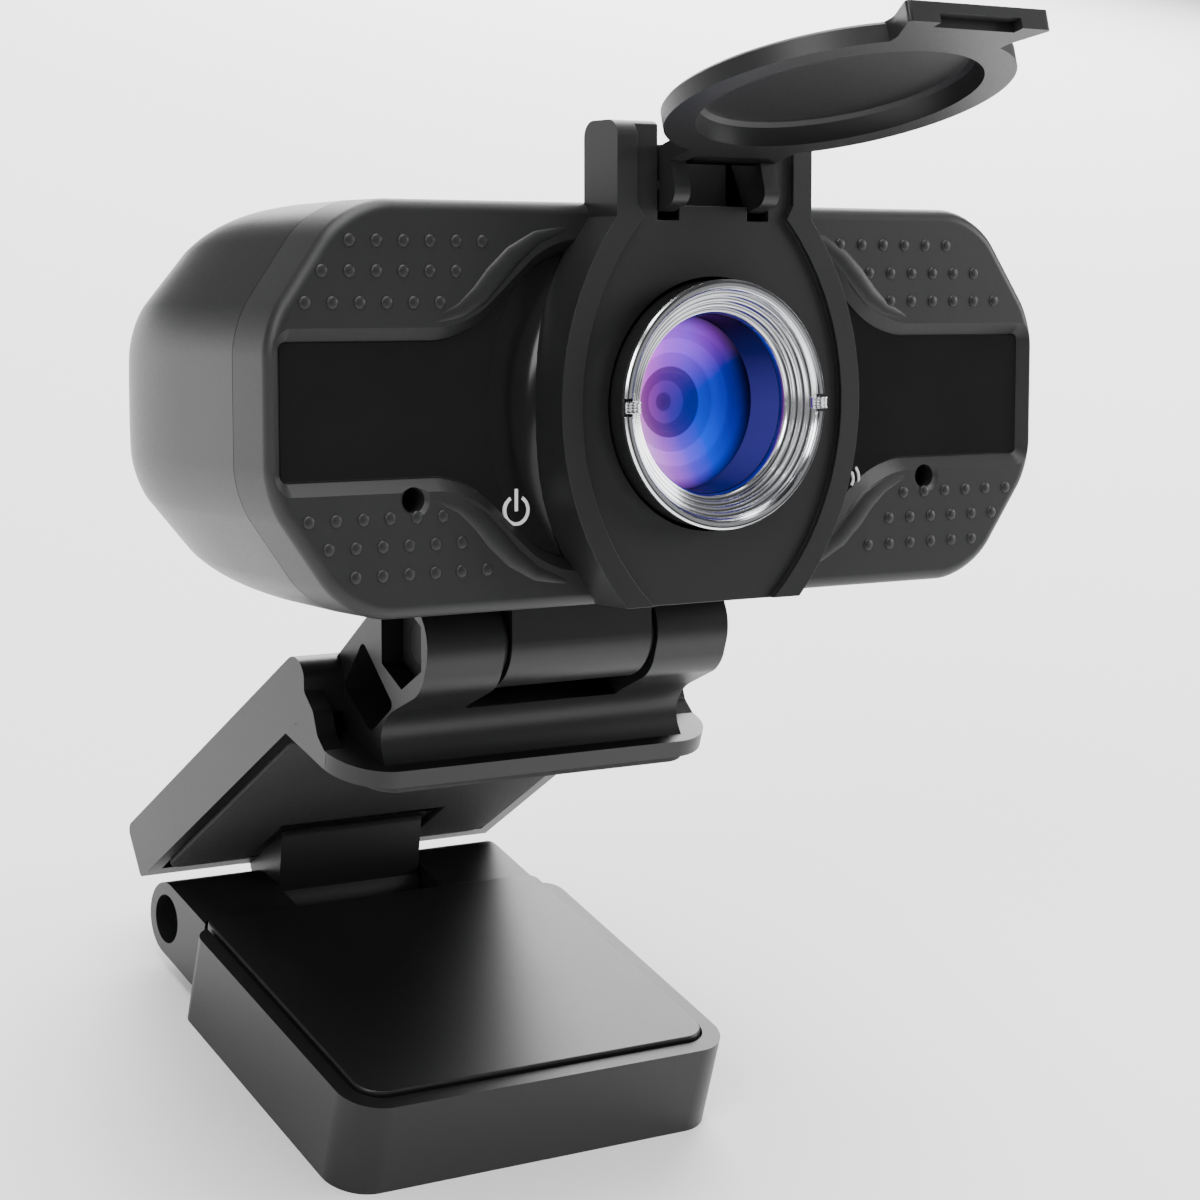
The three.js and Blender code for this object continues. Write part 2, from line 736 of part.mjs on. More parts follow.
// The head's outline seen from the front, a bar with cut and rounded corners.
function headOutline(inset, steps = 4) {
  const x = headWidth / 2 - inset;
  const z = headHeight / 2 - inset;
  const quarter = [[x, z - cornerDown, cornerRadius - inset / 2], [x - cornerAcross, z, cornerRadius - inset / 2]];
  const flip = (list, sx, sz) => list.map(([px, pz, r]) => [sx * px, sz * pz, r]);
  return rounded([
    ...quarter,
    ...flip(quarter, -1, 1).reverse(),
    ...flip(quarter, -1, -1),
    ...flip(quarter, 1, -1).reverse(),
  ], steps);
}

// A point of the rim, moved towards a plain superellipse of the same width and height.
function softened(point, inset, weight) {
  const x = headWidth / 2 - inset;
  const z = headHeight / 2 - inset;
  const angle = Math.atan2(point.y / z, point.x / x);
  const [c, s] = [Math.cos(angle), Math.sin(angle)];
  const reach = (Math.abs(c) ** softPower + Math.abs(s) ** softPower) ** (-1 / softPower);
  return point.clone().lerp(new THREE.Vector2(x * c * reach, z * s * reach), weight);
}

// A dome that starts as the head's outline at the front and closes at the rear.
function dome(inset, front, rear, slices, stacks) {
  const shape = new THREE.Shape(headOutline(inset));
  const rim = shape.getSpacedPoints(slices).slice(0, slices);
  const surface = (u, v, target) => {
    const stage = Math.max(0, v * stacks - 1) / (stacks - 1);
    const along = Math.min(Math.sin((stage * Math.PI) / 2) ** (2 / shellSquareness), 1);
    const across = (1 - along ** shellSquareness) ** (1 / shellSquareness);
    const up = (1 - along ** shellCrown) ** (1 / shellCrown);
    const weight = shellSoftening * THREE.MathUtils.smoothstep(along, 0, 1);
    const point = softened(rim[Math.round(u * slices) % slices], inset, weight);
    const cap = Math.min(1, v * stacks);
    target.set(point.x * across * cap, front + (rear - front) * along, point.y * up * cap);
  };
  return solid(new ParametricGeometry(surface, slices, stacks));
}

// The gloss panel's outline: a long band that swells around the lens in four smooth shoulders.
function panelOutline(grow) {
  const path = new THREE.Path();
  const x0 = panelHalfLength + grow;
  const z0 = panelHalfHeight + grow;
  const x1 = panelShoulderStart;
  const x2 = panelShoulderEnd;
  const z1 = panelShoulderHeight + grow;
  const lean = (x1 - x2) * 0.55;
  path.moveTo(-x0, -z0);
  path.lineTo(-x1, -z0);
  path.bezierCurveTo(-x1 + lean, -z0, -x2 - lean, -z1, -x2, -z1);
  path.lineTo(x2, -z1);
  path.bezierCurveTo(x2 + lean, -z1, x1 - lean, -z0, x1, -z0);
  path.lineTo(x0, -z0);
  path.lineTo(x0, z0);
  path.lineTo(x1, z0);
  path.bezierCurveTo(x1 - lean, z0, x2 + lean, z1, x2, z1);
  path.lineTo(-x2, z1);
  path.bezierCurveTo(-x2 - lean, z1, -x1 + lean, z0, -x1, z0);
  path.lineTo(-x0, z0);
  return path.getPoints(6);
}

const panelSeat = panelFace + panelThickness + fitGap / 2;
const bezelFloor = panelSeat + 1.5;
const boardPosts = [[-1, -1], [1, -1], [1, 1], [-1, 1]].map(([sx, sz]) => [sx * boardPostX, sz * boardPostZ]);
const shellScrews = [-1, 1].map((side) => side * shellScrewX);

function rodY(radius, from, to, x, z, steps = 16) {
  return turned(rod(radius, from, to), steps).translate(x, 0, z);
}

function makeBezel() {
  const bevel = faceProud;
  const blank = solid(extruded(headOutline(bevel), bezelDepth + 4, bevel, 2)
    .applyMatrix4(new THREE.Matrix4().set(1, 0, 0, 0, 0, 0, -1, bezelDepth + 4, 0, 1, 0, 0, 0, 0, 0, 1)));
  const behind = box(-60, 60, bezelDepth, 30, -40, 40);
  const inside = cut(
    alongY(headOutline(bezelWall), bezelFloor, 20),
    ...boardPosts.map(([x, z]) => rodY(boardPostRadius, 0, 30, x, z)),
    ...shellScrews.map((x) => rodY(shellScrewBossRadius, 0, 30, x, 0)),
  );
  const posts = [
    ...boardPosts.map(([x, z]) => rodY(boardPostRadius, bezelFloor - overlap, boardFront - fitGap, x, z)),
    ...shellScrews.map((x) => rodY(shellScrewBossRadius, bezelFloor - overlap, shellScrewSeat - 2 - fitGap, x, 0)),
  ];
  const panelRecess = alongY(panelOutline(fitGap / 2), panelFace - 0.1, panelSeat);
  const slope = faceProud + panelFace + 0.1;
  const slopedRecess = solid(extruded(panelOutline(fitGap / 2), 4, slope, 1)
    .applyMatrix4(new THREE.Matrix4().set(1, 0, 0, 0, 0, 0, -1, -faceProud, 0, 1, 0, 0, 0, 0, 0, 1)));
  const mics = [-1, 1].map((side) => rodY(micHoleRadius, -5, 8, side * micOffset, -micDrop, 20));
  const screwHoles = [
    ...boardPosts.map(([x, z]) => rodY(boardScrewRadius + 0.1, 8, 40, x, z, 16)),
    ...shellScrews.map((x) => rodY(shellScrewRadius + 0.1, 7, 40, x, 0, 16)),
  ];
  return cut(
    union(cut(blank, behind, inside), ...posts),
    panelRecess,
    slopedRecess,
    alongY(coverOutline(-fitGap), -20, coverBack + fitGap),
    rodY(coverHoleRadius + 0.4, -10, 10, 0, 0, 40),
    rodY(1.9, -3, 8, ledX, ledZ, 20),
    ...mics,
    ...screwHoles,
  );
}

function makeFrontPanel() {
  return cut(
    alongY(panelOutline(-fitGap / 2), panelFace, panelFace + panelThickness),
    rodY(coverHoleRadius + 0.2, -10, 10, 0, 0, 40),
  );
}

function makeRearShell() {
  const start = bezelDepth + fitGap;
  const outer = dome(0, start, shellRear, 52, 12);
  const inner = dome(shellWall, start - 3, shellRear - shellWall, 32, 8);
  const tops = shellScrews.map((x) => rodY(shellScrewBossRadius, shellScrewSeat - 2, shellRear, x, 0));
  const swivelBoss = turnedZ(rod(swivelBossRadius, -headHeight / 2, -headHeight / 2 + 4.4), 40).translate(0, pivotBack, 0);
  const swivelFloor = swivelStubLength - fitGap;
  const swivelTower = turnedZ(rod(swivelStubRadius + 2.4, -headHeight / 2, -headHeight / 2 + swivelFloor), 40)
    .translate(0, pivotBack, 0);
  const screwWays = shellScrews.map((x) => rodY(2.5, shellScrewSeat, 60, x, 0, 24));
  const screwHoles = shellScrews.map((x) => rodY(shellScrewRadius + 0.1, 0, 60, x, 0, 16));
  const shell = cut(outer, inner);
  const bodies = union(shell, ...tops.map((top) => top.intersect(outer)), swivelBoss, swivelTower);
  return cut(
    bodies,
    ...screwWays,
    ...screwHoles,
    turnedZ(rod(swivelStubRadius + 0.1, -40, 0), 32).translate(0, pivotBack, 0),
    rodY(glandRadius + fitGap / 2, 30, 60, 0, glandHeight, 32),
  );
}

function makeShellScrew(x) {
  const seat = shellScrewSeat + 0.1;
  const profile = [[0, seat - 9], [shellScrewRadius, seat - 9], [shellScrewRadius, seat], [2.2, seat], [2.2, seat + 1.2], [0, seat + 1.8]];
  return cut(turned(profile, 20), box(-1.4, 1.4, seat + 0.9, seat + 3, -0.25, 0.25)).translate(x, 0, 0);
}

function makeCableGland() {
  const rear = shellRear + 1.2;
  const flangeRear = shellRear - shellWall - 1;
  const lips = [
    [glandBore, flangeRear - 2],
    [glandRadius + 1.4, flangeRear - 2],
    [glandRadius + 1.4, flangeRear],
    [glandRadius - 0.1, flangeRear],
    [glandRadius - 0.1, rear - 0.6],
    [glandRadius - 0.7, rear],
    [glandBore, rear],
  ];
  return turned(lips, 32).translate(0, 0, glandHeight);
}

piece('front_bezel', makeBezel(), 'faceBlack', head);
piece('front_panel', makeFrontPanel(), 'glossBlack', head);
piece('rear_shell', makeRearShell(), 'satinBlack', head);
shellScrews.forEach((x, i) => piece(`shell_screw_${['left', 'right'][i]}`, makeShellScrew(x), 'steel', head));
piece('cable_gland', makeCableGland(), 'rubberBlack', head);

// ---------------------------------------------------------------- base of the privacy cover

function coverOutline(inset) {
  const centre = coverSideRadius - coverHalfWidth;
  const radius = coverSideRadius - inset;
  const bottom = -headHeight / 2 + 0.1 + (inset > 0 ? -cutOver : 0);
  const low = Math.asin(bottom / radius);
  const high = Math.asin(postFlare / radius);
  const steps = 10;
  const side = Array.from({ length: steps + 1 }, (_, k) => {
    const angle = low + ((high - low) * k) / steps;
    return [radius * Math.cos(angle) - centre, radius * Math.sin(angle)];
  });
  const post = postOuter - inset;
  const top = postTop - inset + (inset > 0 ? cutOver + inset : 0);
  const right = [...side, [post, postFlare + 1.2], [post, top]];
  const left = right.map(([x, z]) => [-x, z]).reverse();
  return [...right, ...left].map(([x, z]) => new THREE.Vector2(x, z));
}

function makeCoverBase() {
  const blank = alongY(coverOutline(0), coverFront, coverBack);
  const recess = alongY(coverOutline(coverBandWidth), coverFront - 2, coverFront + coverBandHeight);
  const backWall = coverBack - neckWallThickness;
  const gap = box(-postInner, postInner, coverFront - 2, backWall, neckTop, 40);
  const aboveWall = box(-postInner, postInner, backWall - cutOver, 5, neckWallTop, 40);
  const slots = [-1, 1].map((side) => box(...between(side * knuckleSlotInner, side * postInner), -20, backWall, knuckleSlotFloor, 40));
  const rounding = postRounding();
  const pivots = turnedX(rod(lidPivotRadius + 0.1, -postInner - lidPivotReach - 0.2, postInner + lidPivotReach + 0.2), 20)
    .translate(0, lidAxisFront, lidAxisHeight);
  return cut(blank, recess, gap, aboveWall, ...slots, rounding, pivots, rodY(coverHoleRadius, -20, 20, 0, 0, 40));
}

// What rounding the posts' tops over from front to back takes away.
function postRounding() {
  const radius = 1.6;
  const block = alongX([[-30, 25], [20, 25], [20, 45], [-30, 45]].map(([y, z]) => new THREE.Vector2(y, z)), -20, 20);
  const keep = alongX(
    rounded([[coverFront, 0], [coverBack, 0], [coverBack, postTop, radius], [coverFront, postTop, radius]]),
    -21,
    21,
  );
  return cut(block, keep);
}

piece('cover_base', makeCoverBase(), 'satinBlack', head);

// ---------------------------------------------------------------- privacy lid
// In the lid's group the hinge axis is the X axis, the lid points to -Y, and +Z is its outer side.

const lidFaceOffset = coverFront - fitGap - lidAxisFront; // negative: the closed lid's inner face lies in front of the axis
const lidInner = -lidFaceOffset;
const lidCentre = -lidAxisHeight;

function makeLid() {
  const outer = lidInner + lidRimThickness;
  const crownTop = lidInner + lidRecessDepth + lidCrownWall + 0.3;
  const disc = turnedZ([
    [0, lidInner],
    [lidRadius, lidInner],
    [lidRadius, outer - 0.4],
    [lidRadius - 0.4, outer],
    [lidRecessRadius + 0.6, outer],
    [lidRecessRadius - 2.2, crownTop],
    [0, crownTop + 0.3],
  ], 44).translate(0, lidCentre, 0);
  const tabTip = lidCentre - lidTabReach;
  const tab = alongZ(rounded([
    [-lidTabNeck, lidCentre - 12],
    [-lidTabNeck, lidCentre - 17.2, 1.5],
    [-lidTabHalfWidth, tabTip, 0.3],
    [lidTabHalfWidth, tabTip, 0.3],
    [lidTabNeck, lidCentre - 17.2, 1.5],
    [lidTabNeck, lidCentre - 12],
  ].reverse()), lidInner, outer);
  const armOuter = postInner - runGap;
  const armInner = knuckleSlotInner + runGap;
  const neckRoot = lidCentre + 14;
  const neck = alongZ(rounded([
    [-armOuter, neckRoot], [-armOuter, -4.6, 1], [armOuter, -4.6, 1], [armOuter, neckRoot],
  ]), lidInner, outer);
  const armOutline = rounded([
    [neckRoot, lidInner], [neckRoot, outer], [-1.2, outer, 1.6], [-0.5, lidInner], [-3.4, lidInner],
  ]);
  const arm = (side) => union(
    alongX(armOutline, ...between(side * armInner, side * armOuter)),
    turnedX(rod(lidKnuckleRadius, ...between(side * armInner, side * armOuter)), 28),
    turnedX(rod(lidPivotRadius, ...between(side * (armOuter - overlap), side * (postInner + lidPivotReach))), 20),
  );
  const recess = turnedZ([
    [0, lidInner - 1],
    [lidRecessRadius, lidInner - 1],
    [lidRecessRadius, lidInner + 0.2],
    [lidRecessRadius - 0.9, lidInner + lidRecessDepth],
    [0, lidInner + lidRecessDepth],
  ], 36).translate(0, lidCentre, 0);
  const gripSlot = box(-gripSlotHalfWidth, gripSlotHalfWidth, tabTip - cutOver, tabTip + gripSlotDepth, lidInner - cutOver, lidInner + gripSlotHeight);
  return cut(union(disc, tab, neck, arm(-1), arm(1)), recess, gripSlot);
}

piece('privacy_lid', makeLid(), 'satinBlack', lid);

// ---------------------------------------------------------------- lens

function makeLensBarrel() {
  const bore = frontLensRadius + 0.15;
  return turned([
    [ringSeatRadius, lensBarrelFront],
    [lensBarrelRadius, lensBarrelFront],
    [lensBarrelRadius, lensBarrelRear],
    [imagingLensRadius + fitGap / 2, lensBarrelRear],
    [imagingLensRadius + fitGap / 2, lensBarrelRear - 2],
    [frontLensRadius - 1, lensBarrelRear - 2],
    [frontLensRadius - 1, frontLensVertex + frontLensThickness + 1],
    [bore, frontLensVertex + frontLensThickness + 1],
    [bore, ringInnerFace + 0.8],
    [ringSeatRadius, ringInnerFace + 0.8],
  ], 36);
}

function makeTrimRing() {
  const seat = ringSeatRadius - fitGap / 2;
  const ring = turned([
    [ringLipRadius, lensBarrelFront - 0.1],
    [ringLipRadius, ringFront + 0.15],
    [ringLipRadius - 0.15, ringFront],
    [ringLipRadius - 0.85, ringFront],
    [ringInnerRadius, ringInnerFace],
    [ringInnerRadius, ringInnerFace + 0.6],
    [seat, ringInnerFace + 0.6],
    [seat, lensBarrelFront - 0.1],
  ], 40);
  const notchReach = ringLipRadius - 0.75;
  const notches = [-1, 1].map((side) =>
    box(...between(side * notchReach, side * (ringLipRadius + cutOver)), ringFront - cutOver, lensBarrelFront, -0.8, 0.8));
  return cut(ring, ...notches);
}

function makeGripNub(side) {
  const [inner, outer] = [side * (ringLipRadius - 0.65), side * (ringLipRadius + 0.1)];
  return box(...between(inner, outer), ringFront - 0.2, lensBarrelFront - 0.2, -0.65, 0.65);
}

function makeFrontLens() {
  const profile = [[0, frontLensVertex]];
  const rings = 4;
  for (let k = 1; k <= rings; k += 1) {
    profile.push([(frontLensRadius * k) / rings, frontLensVertex + frontLensSag * (k / rings) ** 2]);
  }
  profile.push([frontLensRadius, frontLensVertex + frontLensThickness + 0.8]);
  profile.push([0, frontLensVertex + frontLensThickness]);
  return turned(profile, 32);
}

function makeApertureStop() {
  const face = frontLensVertex + frontLensThickness + 1.1;
  return turned([
    [stopRadius + 3, face],
    [frontLensRadius - 1.2, face],
    [frontLensRadius - 1.2, face + 2.6],
    [stopRadius, face + 2.6],
    [stopRadius, face + 2],
  ], 28);
}

function makeImagingLens() {
  const start = frontLensVertex + frontLensThickness + 4.4;
  return turned([
    [0, start + 0.8],
    [2.4, start + 0.9],
    [3.4, start + 1.3],
    [4, start],
    [imagingLensRadius, start],
    [imagingLensRadius, boardFront - 5],
    [0, boardFront - 5],
  ], 28);
}

function makeLensHolder() {
  const front = lensBarrelRear + 0.6;
  const blank = union(
    turned(rod(imagingLensRadius + 1.6, front, boardFront - 4), 28),
    box(-8.4, 8.4, boardFront - 4.4, boardFront - fitGap / 3, -8.4, 8.4),
  );
  return cut(
    blank,
    turned(rod(imagingLensRadius + 0.1, 0, boardFront - 4.9), 28),
    box(-6, 6, boardFront - 4.9, 30, -6, 6),
  );
}

piece('lens_barrel', makeLensBarrel(), 'satinBlack', head);
piece('lens_trim_ring', makeTrimRing(), 'silver', head);
[-1, 1].forEach((side) => piece(`focus_nub_${side < 0 ? 'left' : 'right'}`, makeGripNub(side), 'silver', head));
piece('front_lens', makeFrontLens(), 'coatedGlass', head);
piece('aperture_stop', makeApertureStop(), 'satinBlack', head);
piece('imaging_lens', makeImagingLens(), 'glossBlack', head);
piece('lens_holder', makeLensHolder(), 'satinBlack', head);

// ---------------------------------------------------------------- electronics

function makeBoard() {
  const outline = rounded([
    [-boardWidth / 2, -boardHeight / 2, 2],
    [boardWidth / 2, -boardHeight / 2, 2],
    [boardWidth / 2, boardHeight / 2, 2],
    [-boardWidth / 2, boardHeight / 2, 2],
  ]);
  const holes = boardPosts.map(([x, z]) => rodY(boardScrewRadius + 0.2, 0, 40, x, z, 16));
  return cut(alongY(outline, boardFront, boardFront + boardThickness), ...holes);
}

function makeBoardScrew(x, z) {
  const seat = boardFront + boardThickness + 0.05;
  const profile = [[0, seat - 6], [boardScrewRadius, seat - 6], [boardScrewRadius, seat], [1.9, seat], [1.9, seat + 0.8], [0, seat + 1.3]];
  return turned(profile, 16).translate(x, 0, z);
}

piece('main_board', makeBoard(), 'board', head);
['low_left', 'low_right', 'high_right', 'high_left'].forEach((place, i) => {
  piece(`board_screw_${place}`, makeBoardScrew(...boardPosts[i]), 'steel', head);
});
piece('image_sensor', box(-4.5, 4.5, boardFront - 1.4, boardFront - fitGap / 3, -4, 4), 'ceramic', head);
piece('infrared_filter', box(-5.6, 5.6, boardFront - 3.2, boardFront - 2.6, -5.6, 5.6), 'coatedGlass', head);
piece(
  'cable_header',
  cut(
    box(-6, 6, boardFront + boardThickness + 0.1, boardFront + boardThickness + 5, -8, -3.5),
    box(-5.2, 5.2, boardFront + boardThickness + 1.1, boardFront + boardThickness + 6, -7.2, -4.3),
  ),
  'ceramic',
  head,
);
piece('video_chip', box(12, 22, boardFront + boardThickness + 0.1, boardFront + boardThickness + 1.3, -4, 6), 'ceramic', head);
piece('status_led', box(ledX - 1, ledX + 1, boardFront - 1.1, boardFront - 0.1, ledZ - 0.7, ledZ + 0.7), 'clear', head);
piece('light_guide', rodY(1.6, panelSeat, boardFront - 1.3, ledX, ledZ, 20), 'clear', head);
[-1, 1].forEach((side) => {
  const name = side < 0 ? 'left' : 'right';
  const boot = cut(
    rodY(3.4, bezelFloor + 0.1, bezelFloor + 3.4, side * micOffset, -micDrop, 24),
    rodY(2.2, bezelFloor + 1.1, bezelFloor + 5, side * micOffset, -micDrop, 20),
    rodY(1.2, bezelFloor - 1, bezelFloor + 5, side * micOffset, -micDrop, 16),
  );
  piece(`mic_boot_${name}`, boot, 'rubberBlack', head);
  piece(`microphone_${name}`, rodY(2.05, bezelFloor + 1.3, bezelFloor + 3.9, side * micOffset, -micDrop, 20), 'steel', head);
});

export default webcam;
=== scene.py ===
"""A webcam on a folding clip: its visible pieces, their finishes and a plain studio."""

import json
import math

import bmesh
import bpy
from mathutils import Matrix, Vector


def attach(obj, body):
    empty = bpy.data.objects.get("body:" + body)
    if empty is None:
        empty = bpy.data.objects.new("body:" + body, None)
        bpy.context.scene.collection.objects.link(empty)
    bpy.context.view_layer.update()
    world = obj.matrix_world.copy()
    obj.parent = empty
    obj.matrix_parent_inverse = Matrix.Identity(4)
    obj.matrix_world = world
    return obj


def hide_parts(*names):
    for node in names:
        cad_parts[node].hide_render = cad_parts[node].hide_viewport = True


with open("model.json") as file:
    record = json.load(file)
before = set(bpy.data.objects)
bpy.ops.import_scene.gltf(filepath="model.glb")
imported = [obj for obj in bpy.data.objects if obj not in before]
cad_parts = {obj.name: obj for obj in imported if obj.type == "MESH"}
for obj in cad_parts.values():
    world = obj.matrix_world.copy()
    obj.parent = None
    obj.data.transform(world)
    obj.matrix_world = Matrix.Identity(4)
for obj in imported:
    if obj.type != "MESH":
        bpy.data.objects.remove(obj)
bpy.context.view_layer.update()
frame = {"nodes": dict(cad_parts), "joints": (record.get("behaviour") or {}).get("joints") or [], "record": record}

bl_info = {
    "name": "Clip-on webcam",
    "version": (1, 0, 0),
    "blender": (4, 5, 0),
    "location": "3D View > Sidebar > Webcam",
    "description": "Builds the visible pieces, finishes and studio of a webcam on a folding clip",
    "category": "Object",
}

MM = 0.001
JOINTS = {joint["name"]: joint for joint in frame["joints"]}
LENS_AXIS = Vector(JOINTS["focus_turn"]["axis"])
LENS_PLACE = Vector(JOINTS["focus_turn"]["pos_m"])
LEAN = math.atan2(-LENS_AXIS.z, LENS_AXIS.y)
HEAD = Matrix.Translation(LENS_PLACE) @ Matrix.Rotation(-LEAN, 4, "X")
LID_HINGE = Vector(JOINTS["cover_flip"]["pos_m"])
LID_RISE = math.radians(15.5)
LID = Matrix.Translation(LID_HINGE) @ Matrix.Rotation(-LEAN - LID_RISE, 4, "X")
FOLD = Vector(JOINTS["foot_fold"]["pos_m"]) / MM
TILT = Vector(JOINTS["head_tilt"]["pos_m"]) / MM
LEVEL = Matrix.Identity(4)
KNUCKLE = Matrix.Translation(TILT * MM) @ Matrix.Rotation(-LEAN, 4, "X")
PLANES = {"X": (1, 2, 0), "Y": (0, 2, 1), "Z": (0, 1, 2)}
SIDES = (-1, 1)
FLAT_ANGLE = math.radians(0.2)  # faces that meet more flatly than this are made one

# Sizes that several pieces share, in millimetres
LENS_BORE = 13.8  # the hole for the lens through the face and the gloss panel
BEZEL_DEPTH = 6.0  # where the face's side wall ends and the domed shell begins
EAR_RADIUS = 5.6  # the tilt joint's ears and knuckle
FOLD_RADIUS = 4.65  # the fold joint's barrels, on the clip and on the foot
FOLD_BORE = 3.1
LEG_FACE, LEG_BACK = 6.2, 13.3  # the leg's two faces, out from the fold axis
LIP_LOW, LIP_TOP = 44.7, 46.8


# ---------------------------------------------------------------- shapes, in millimetres


def corner_reach(corners, index):
    """How far along its edges a corner's rounding reaches, for the radius that it names."""
    here = Vector(corners[index][:2])
    back = (Vector(corners[index - 1][:2]) - here).normalized()
    ahead = (Vector(corners[(index + 1) % len(corners)][:2]) - here).normalized()
    half = math.acos(max(-1, min(1, back.dot(ahead)))) / 2
    return round(corners[index][2] / math.tan(half), 4)


def prism(corners, axis, low, high, steps=8):
    """An outline of (a, b) or (a, b, radius) corners, run along an axis from low to high."""
    first, second, along = PLANES[axis]
    bm = bmesh.new()
    ring = []
    reaches = {}
    for index, corner in enumerate(corners):
        place = [0.0, 0.0, 0.0]
        place[first], place[second], place[along] = corner[0], corner[1], low
        ring.append(bm.verts.new(place))
        if len(corner) > 2 and corner[2] > 0:
            reaches.setdefault(corner_reach(corners, index), []).append(ring[-1])
    bm.faces.new(ring)
    for reach, verts in reaches.items():
        bmesh.ops.bevel(
            bm, geom=verts, offset=reach, offset_type="OFFSET", segments=steps,
            profile=0.5, affect="VERTICES", clamp_overlap=True, material=-1,
        )
    made = bmesh.ops.extrude_face_region(bm, geom=bm.faces[:])
    lift = [0.0, 0.0, 0.0]
    lift[along] = high - low
    lifted = [g for g in made["geom"] if isinstance(g, bmesh.types.BMVert)]
    bmesh.ops.translate(bm, vec=lift, verts=lifted)
    return closed(bm)


def closed(bm):
    bmesh.ops.remove_doubles(bm, verts=bm.verts, dist=1e-4)
    bmesh.ops.recalc_face_normals(bm, faces=bm.faces)
    return bm


def turned(profile, axis="Y", steps=96):
    """A closed profile of (radius, position) points, spun about an axis."""
    first, _, along = PLANES[axis]
    bm = bmesh.new()
    verts = []
    for radius, position in profile:
        place = [0.0, 0.0, 0.0]
        place[first], place[along] = radius, position
        verts.append(bm.verts.new(place))
    edges = [bm.edges.new((verts[i - 1], verts[i])) for i in range(len(verts))]
    spin_axis = [0.0, 0.0, 0.0]
    spin_axis[along] = 1.0
    bmesh.ops.spin(
        bm, geom=verts + edges, cent=(0, 0, 0), axis=spin_axis,
        angle=2 * math.pi, steps=steps, use_merge=True,
    )
    for edge in [e for e in bm.edges if not e.link_faces]:
        bm.edges.remove(edge)
    return closed(bm)


def rod(radius, low, high, axis="Y", at=(0, 0, 0), steps=48):
    """A plain round bar along an axis."""
    return moved(turned([(0, low), (radius, low), (radius, high), (0, high)], axis, steps), at)


def block(x0, x1, y0, y1, z0, z1):
    bm = bmesh.new()
    bmesh.ops.create_cube(bm, size=1)
    bmesh.ops.scale(bm, vec=(x1 - x0, y1 - y0, z1 - z0), verts=bm.verts)
    return moved(bm, ((x0 + x1) / 2, (y0 + y1) / 2, (z0 + z1) / 2))


def both_sides(right):
    """A whole outline from its right half, whose two ends are mirrored across the middle."""
    return right + [(-corner[0], *corner[1:]) for corner in right[::-1]]


def moved(bm, by):
    bmesh.ops.translate(bm, vec=by, verts=bm.verts)
    return bm


def span(a, b):
    return (min(a, b), max(a, b))


def scratch(bm):
    mesh = bpy.data.meshes.new("scratch")
    bm.to_mesh(mesh)
    bm.free()
    item = bpy.data.objects.new("scratch", mesh)
    bpy.context.scene.collection.objects.link(item)
    return item


def shaped(base, add=(), cut=(), keep=()):
    """The base joined to some solids, less others, and kept only where it lies in a third kind."""
    work = scratch(base)
    tools = []
    for solids, operation in ((add, "UNION"), (cut, "DIFFERENCE"), (keep, "INTERSECT")):
        for solid in solids:
            tools.append(scratch(solid))
            step = work.modifiers.new("shape", "BOOLEAN")
            step.operation = operation
            step.solver = "EXACT"
            step.object = tools[-1]
    graph = bpy.context.evaluated_depsgraph_get()
    mesh = bpy.data.meshes.new_from_object(work.evaluated_get(graph))
    bm = bmesh.new()
    bm.from_mesh(mesh)
    bpy.data.meshes.remove(mesh)
    for item in [work] + tools:
        shape = item.data
        bpy.data.objects.remove(item)
        bpy.data.meshes.remove(shape)
    bmesh.ops.dissolve_limit(bm, angle_limit=FLAT_ANGLE, verts=bm.verts, edges=bm.edges)
    return closed(bm)


def finished(
    name, bm, body, slot, material, stands_for=(), place=LEVEL, edge=0.25, rounds=3, crease=32,
):
    """Scales a shape to metres, puts it in its place and makes it a piece that rides on a body."""
    bmesh.ops.transform(bm, matrix=place @ Matrix.Scale(MM, 4), verts=bm.verts)
    bmesh.ops.recalc_face_normals(bm, faces=bm.faces)
    for face in bm.faces:
        face.smooth = True
    if not edge:
        flat = math.radians(crease)
        for line in bm.edges:
            line.smooth = len(line.link_faces) == 2 and line.calc_face_angle(0) < flat
    mesh = bpy.data.meshes.new(name)
    bm.to_mesh(mesh)
    bm.free()
    piece = bpy.data.objects.new(name, mesh)
    bpy.context.scene.collection.objects.link(piece)
    mesh.materials.append(material)
    if edge:
        bevel = piece.modifiers.new("rounded edges", "BEVEL")
        bevel.width = edge * MM
        bevel.segments = rounds
        bevel.limit_method = "ANGLE"
        bevel.angle_limit = math.radians(crease)
        bevel.use_clamp_overlap = True
        bevel.harden_normals = False
        weigh = piece.modifiers.new("flat faces", "WEIGHTED_NORMAL")
        weigh.weight = 100
        weigh.keep_sharp = True
    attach(piece, body)
    if stands_for:
        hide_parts(*stands_for)
    return piece


# ---------------------------------------------------------------- finishes


class Value:
    """A node's output whose arithmetic adds Math nodes."""

    def __init__(self, finish, socket):
        self.finish = finish
        self.socket = socket

    def math(self, operation, *others):
        return self.finish.node("ShaderNodeMath", {"operation": operation}, [self, *others])

    def __add__(self, other):
        return self.math("ADD", other)

    def __sub__(self, other):
        return self.math("SUBTRACT", other)

    def __mul__(self, other):
        return self.math("MULTIPLY", other)

    def __truediv__(self, other):
        return self.math("DIVIDE", other)

    def __rsub__(self, other):
        return self.finish.node("ShaderNodeMath", {"operation": "SUBTRACT"}, [other, self])

    __radd__ = __add__
    __rmul__ = __mul__


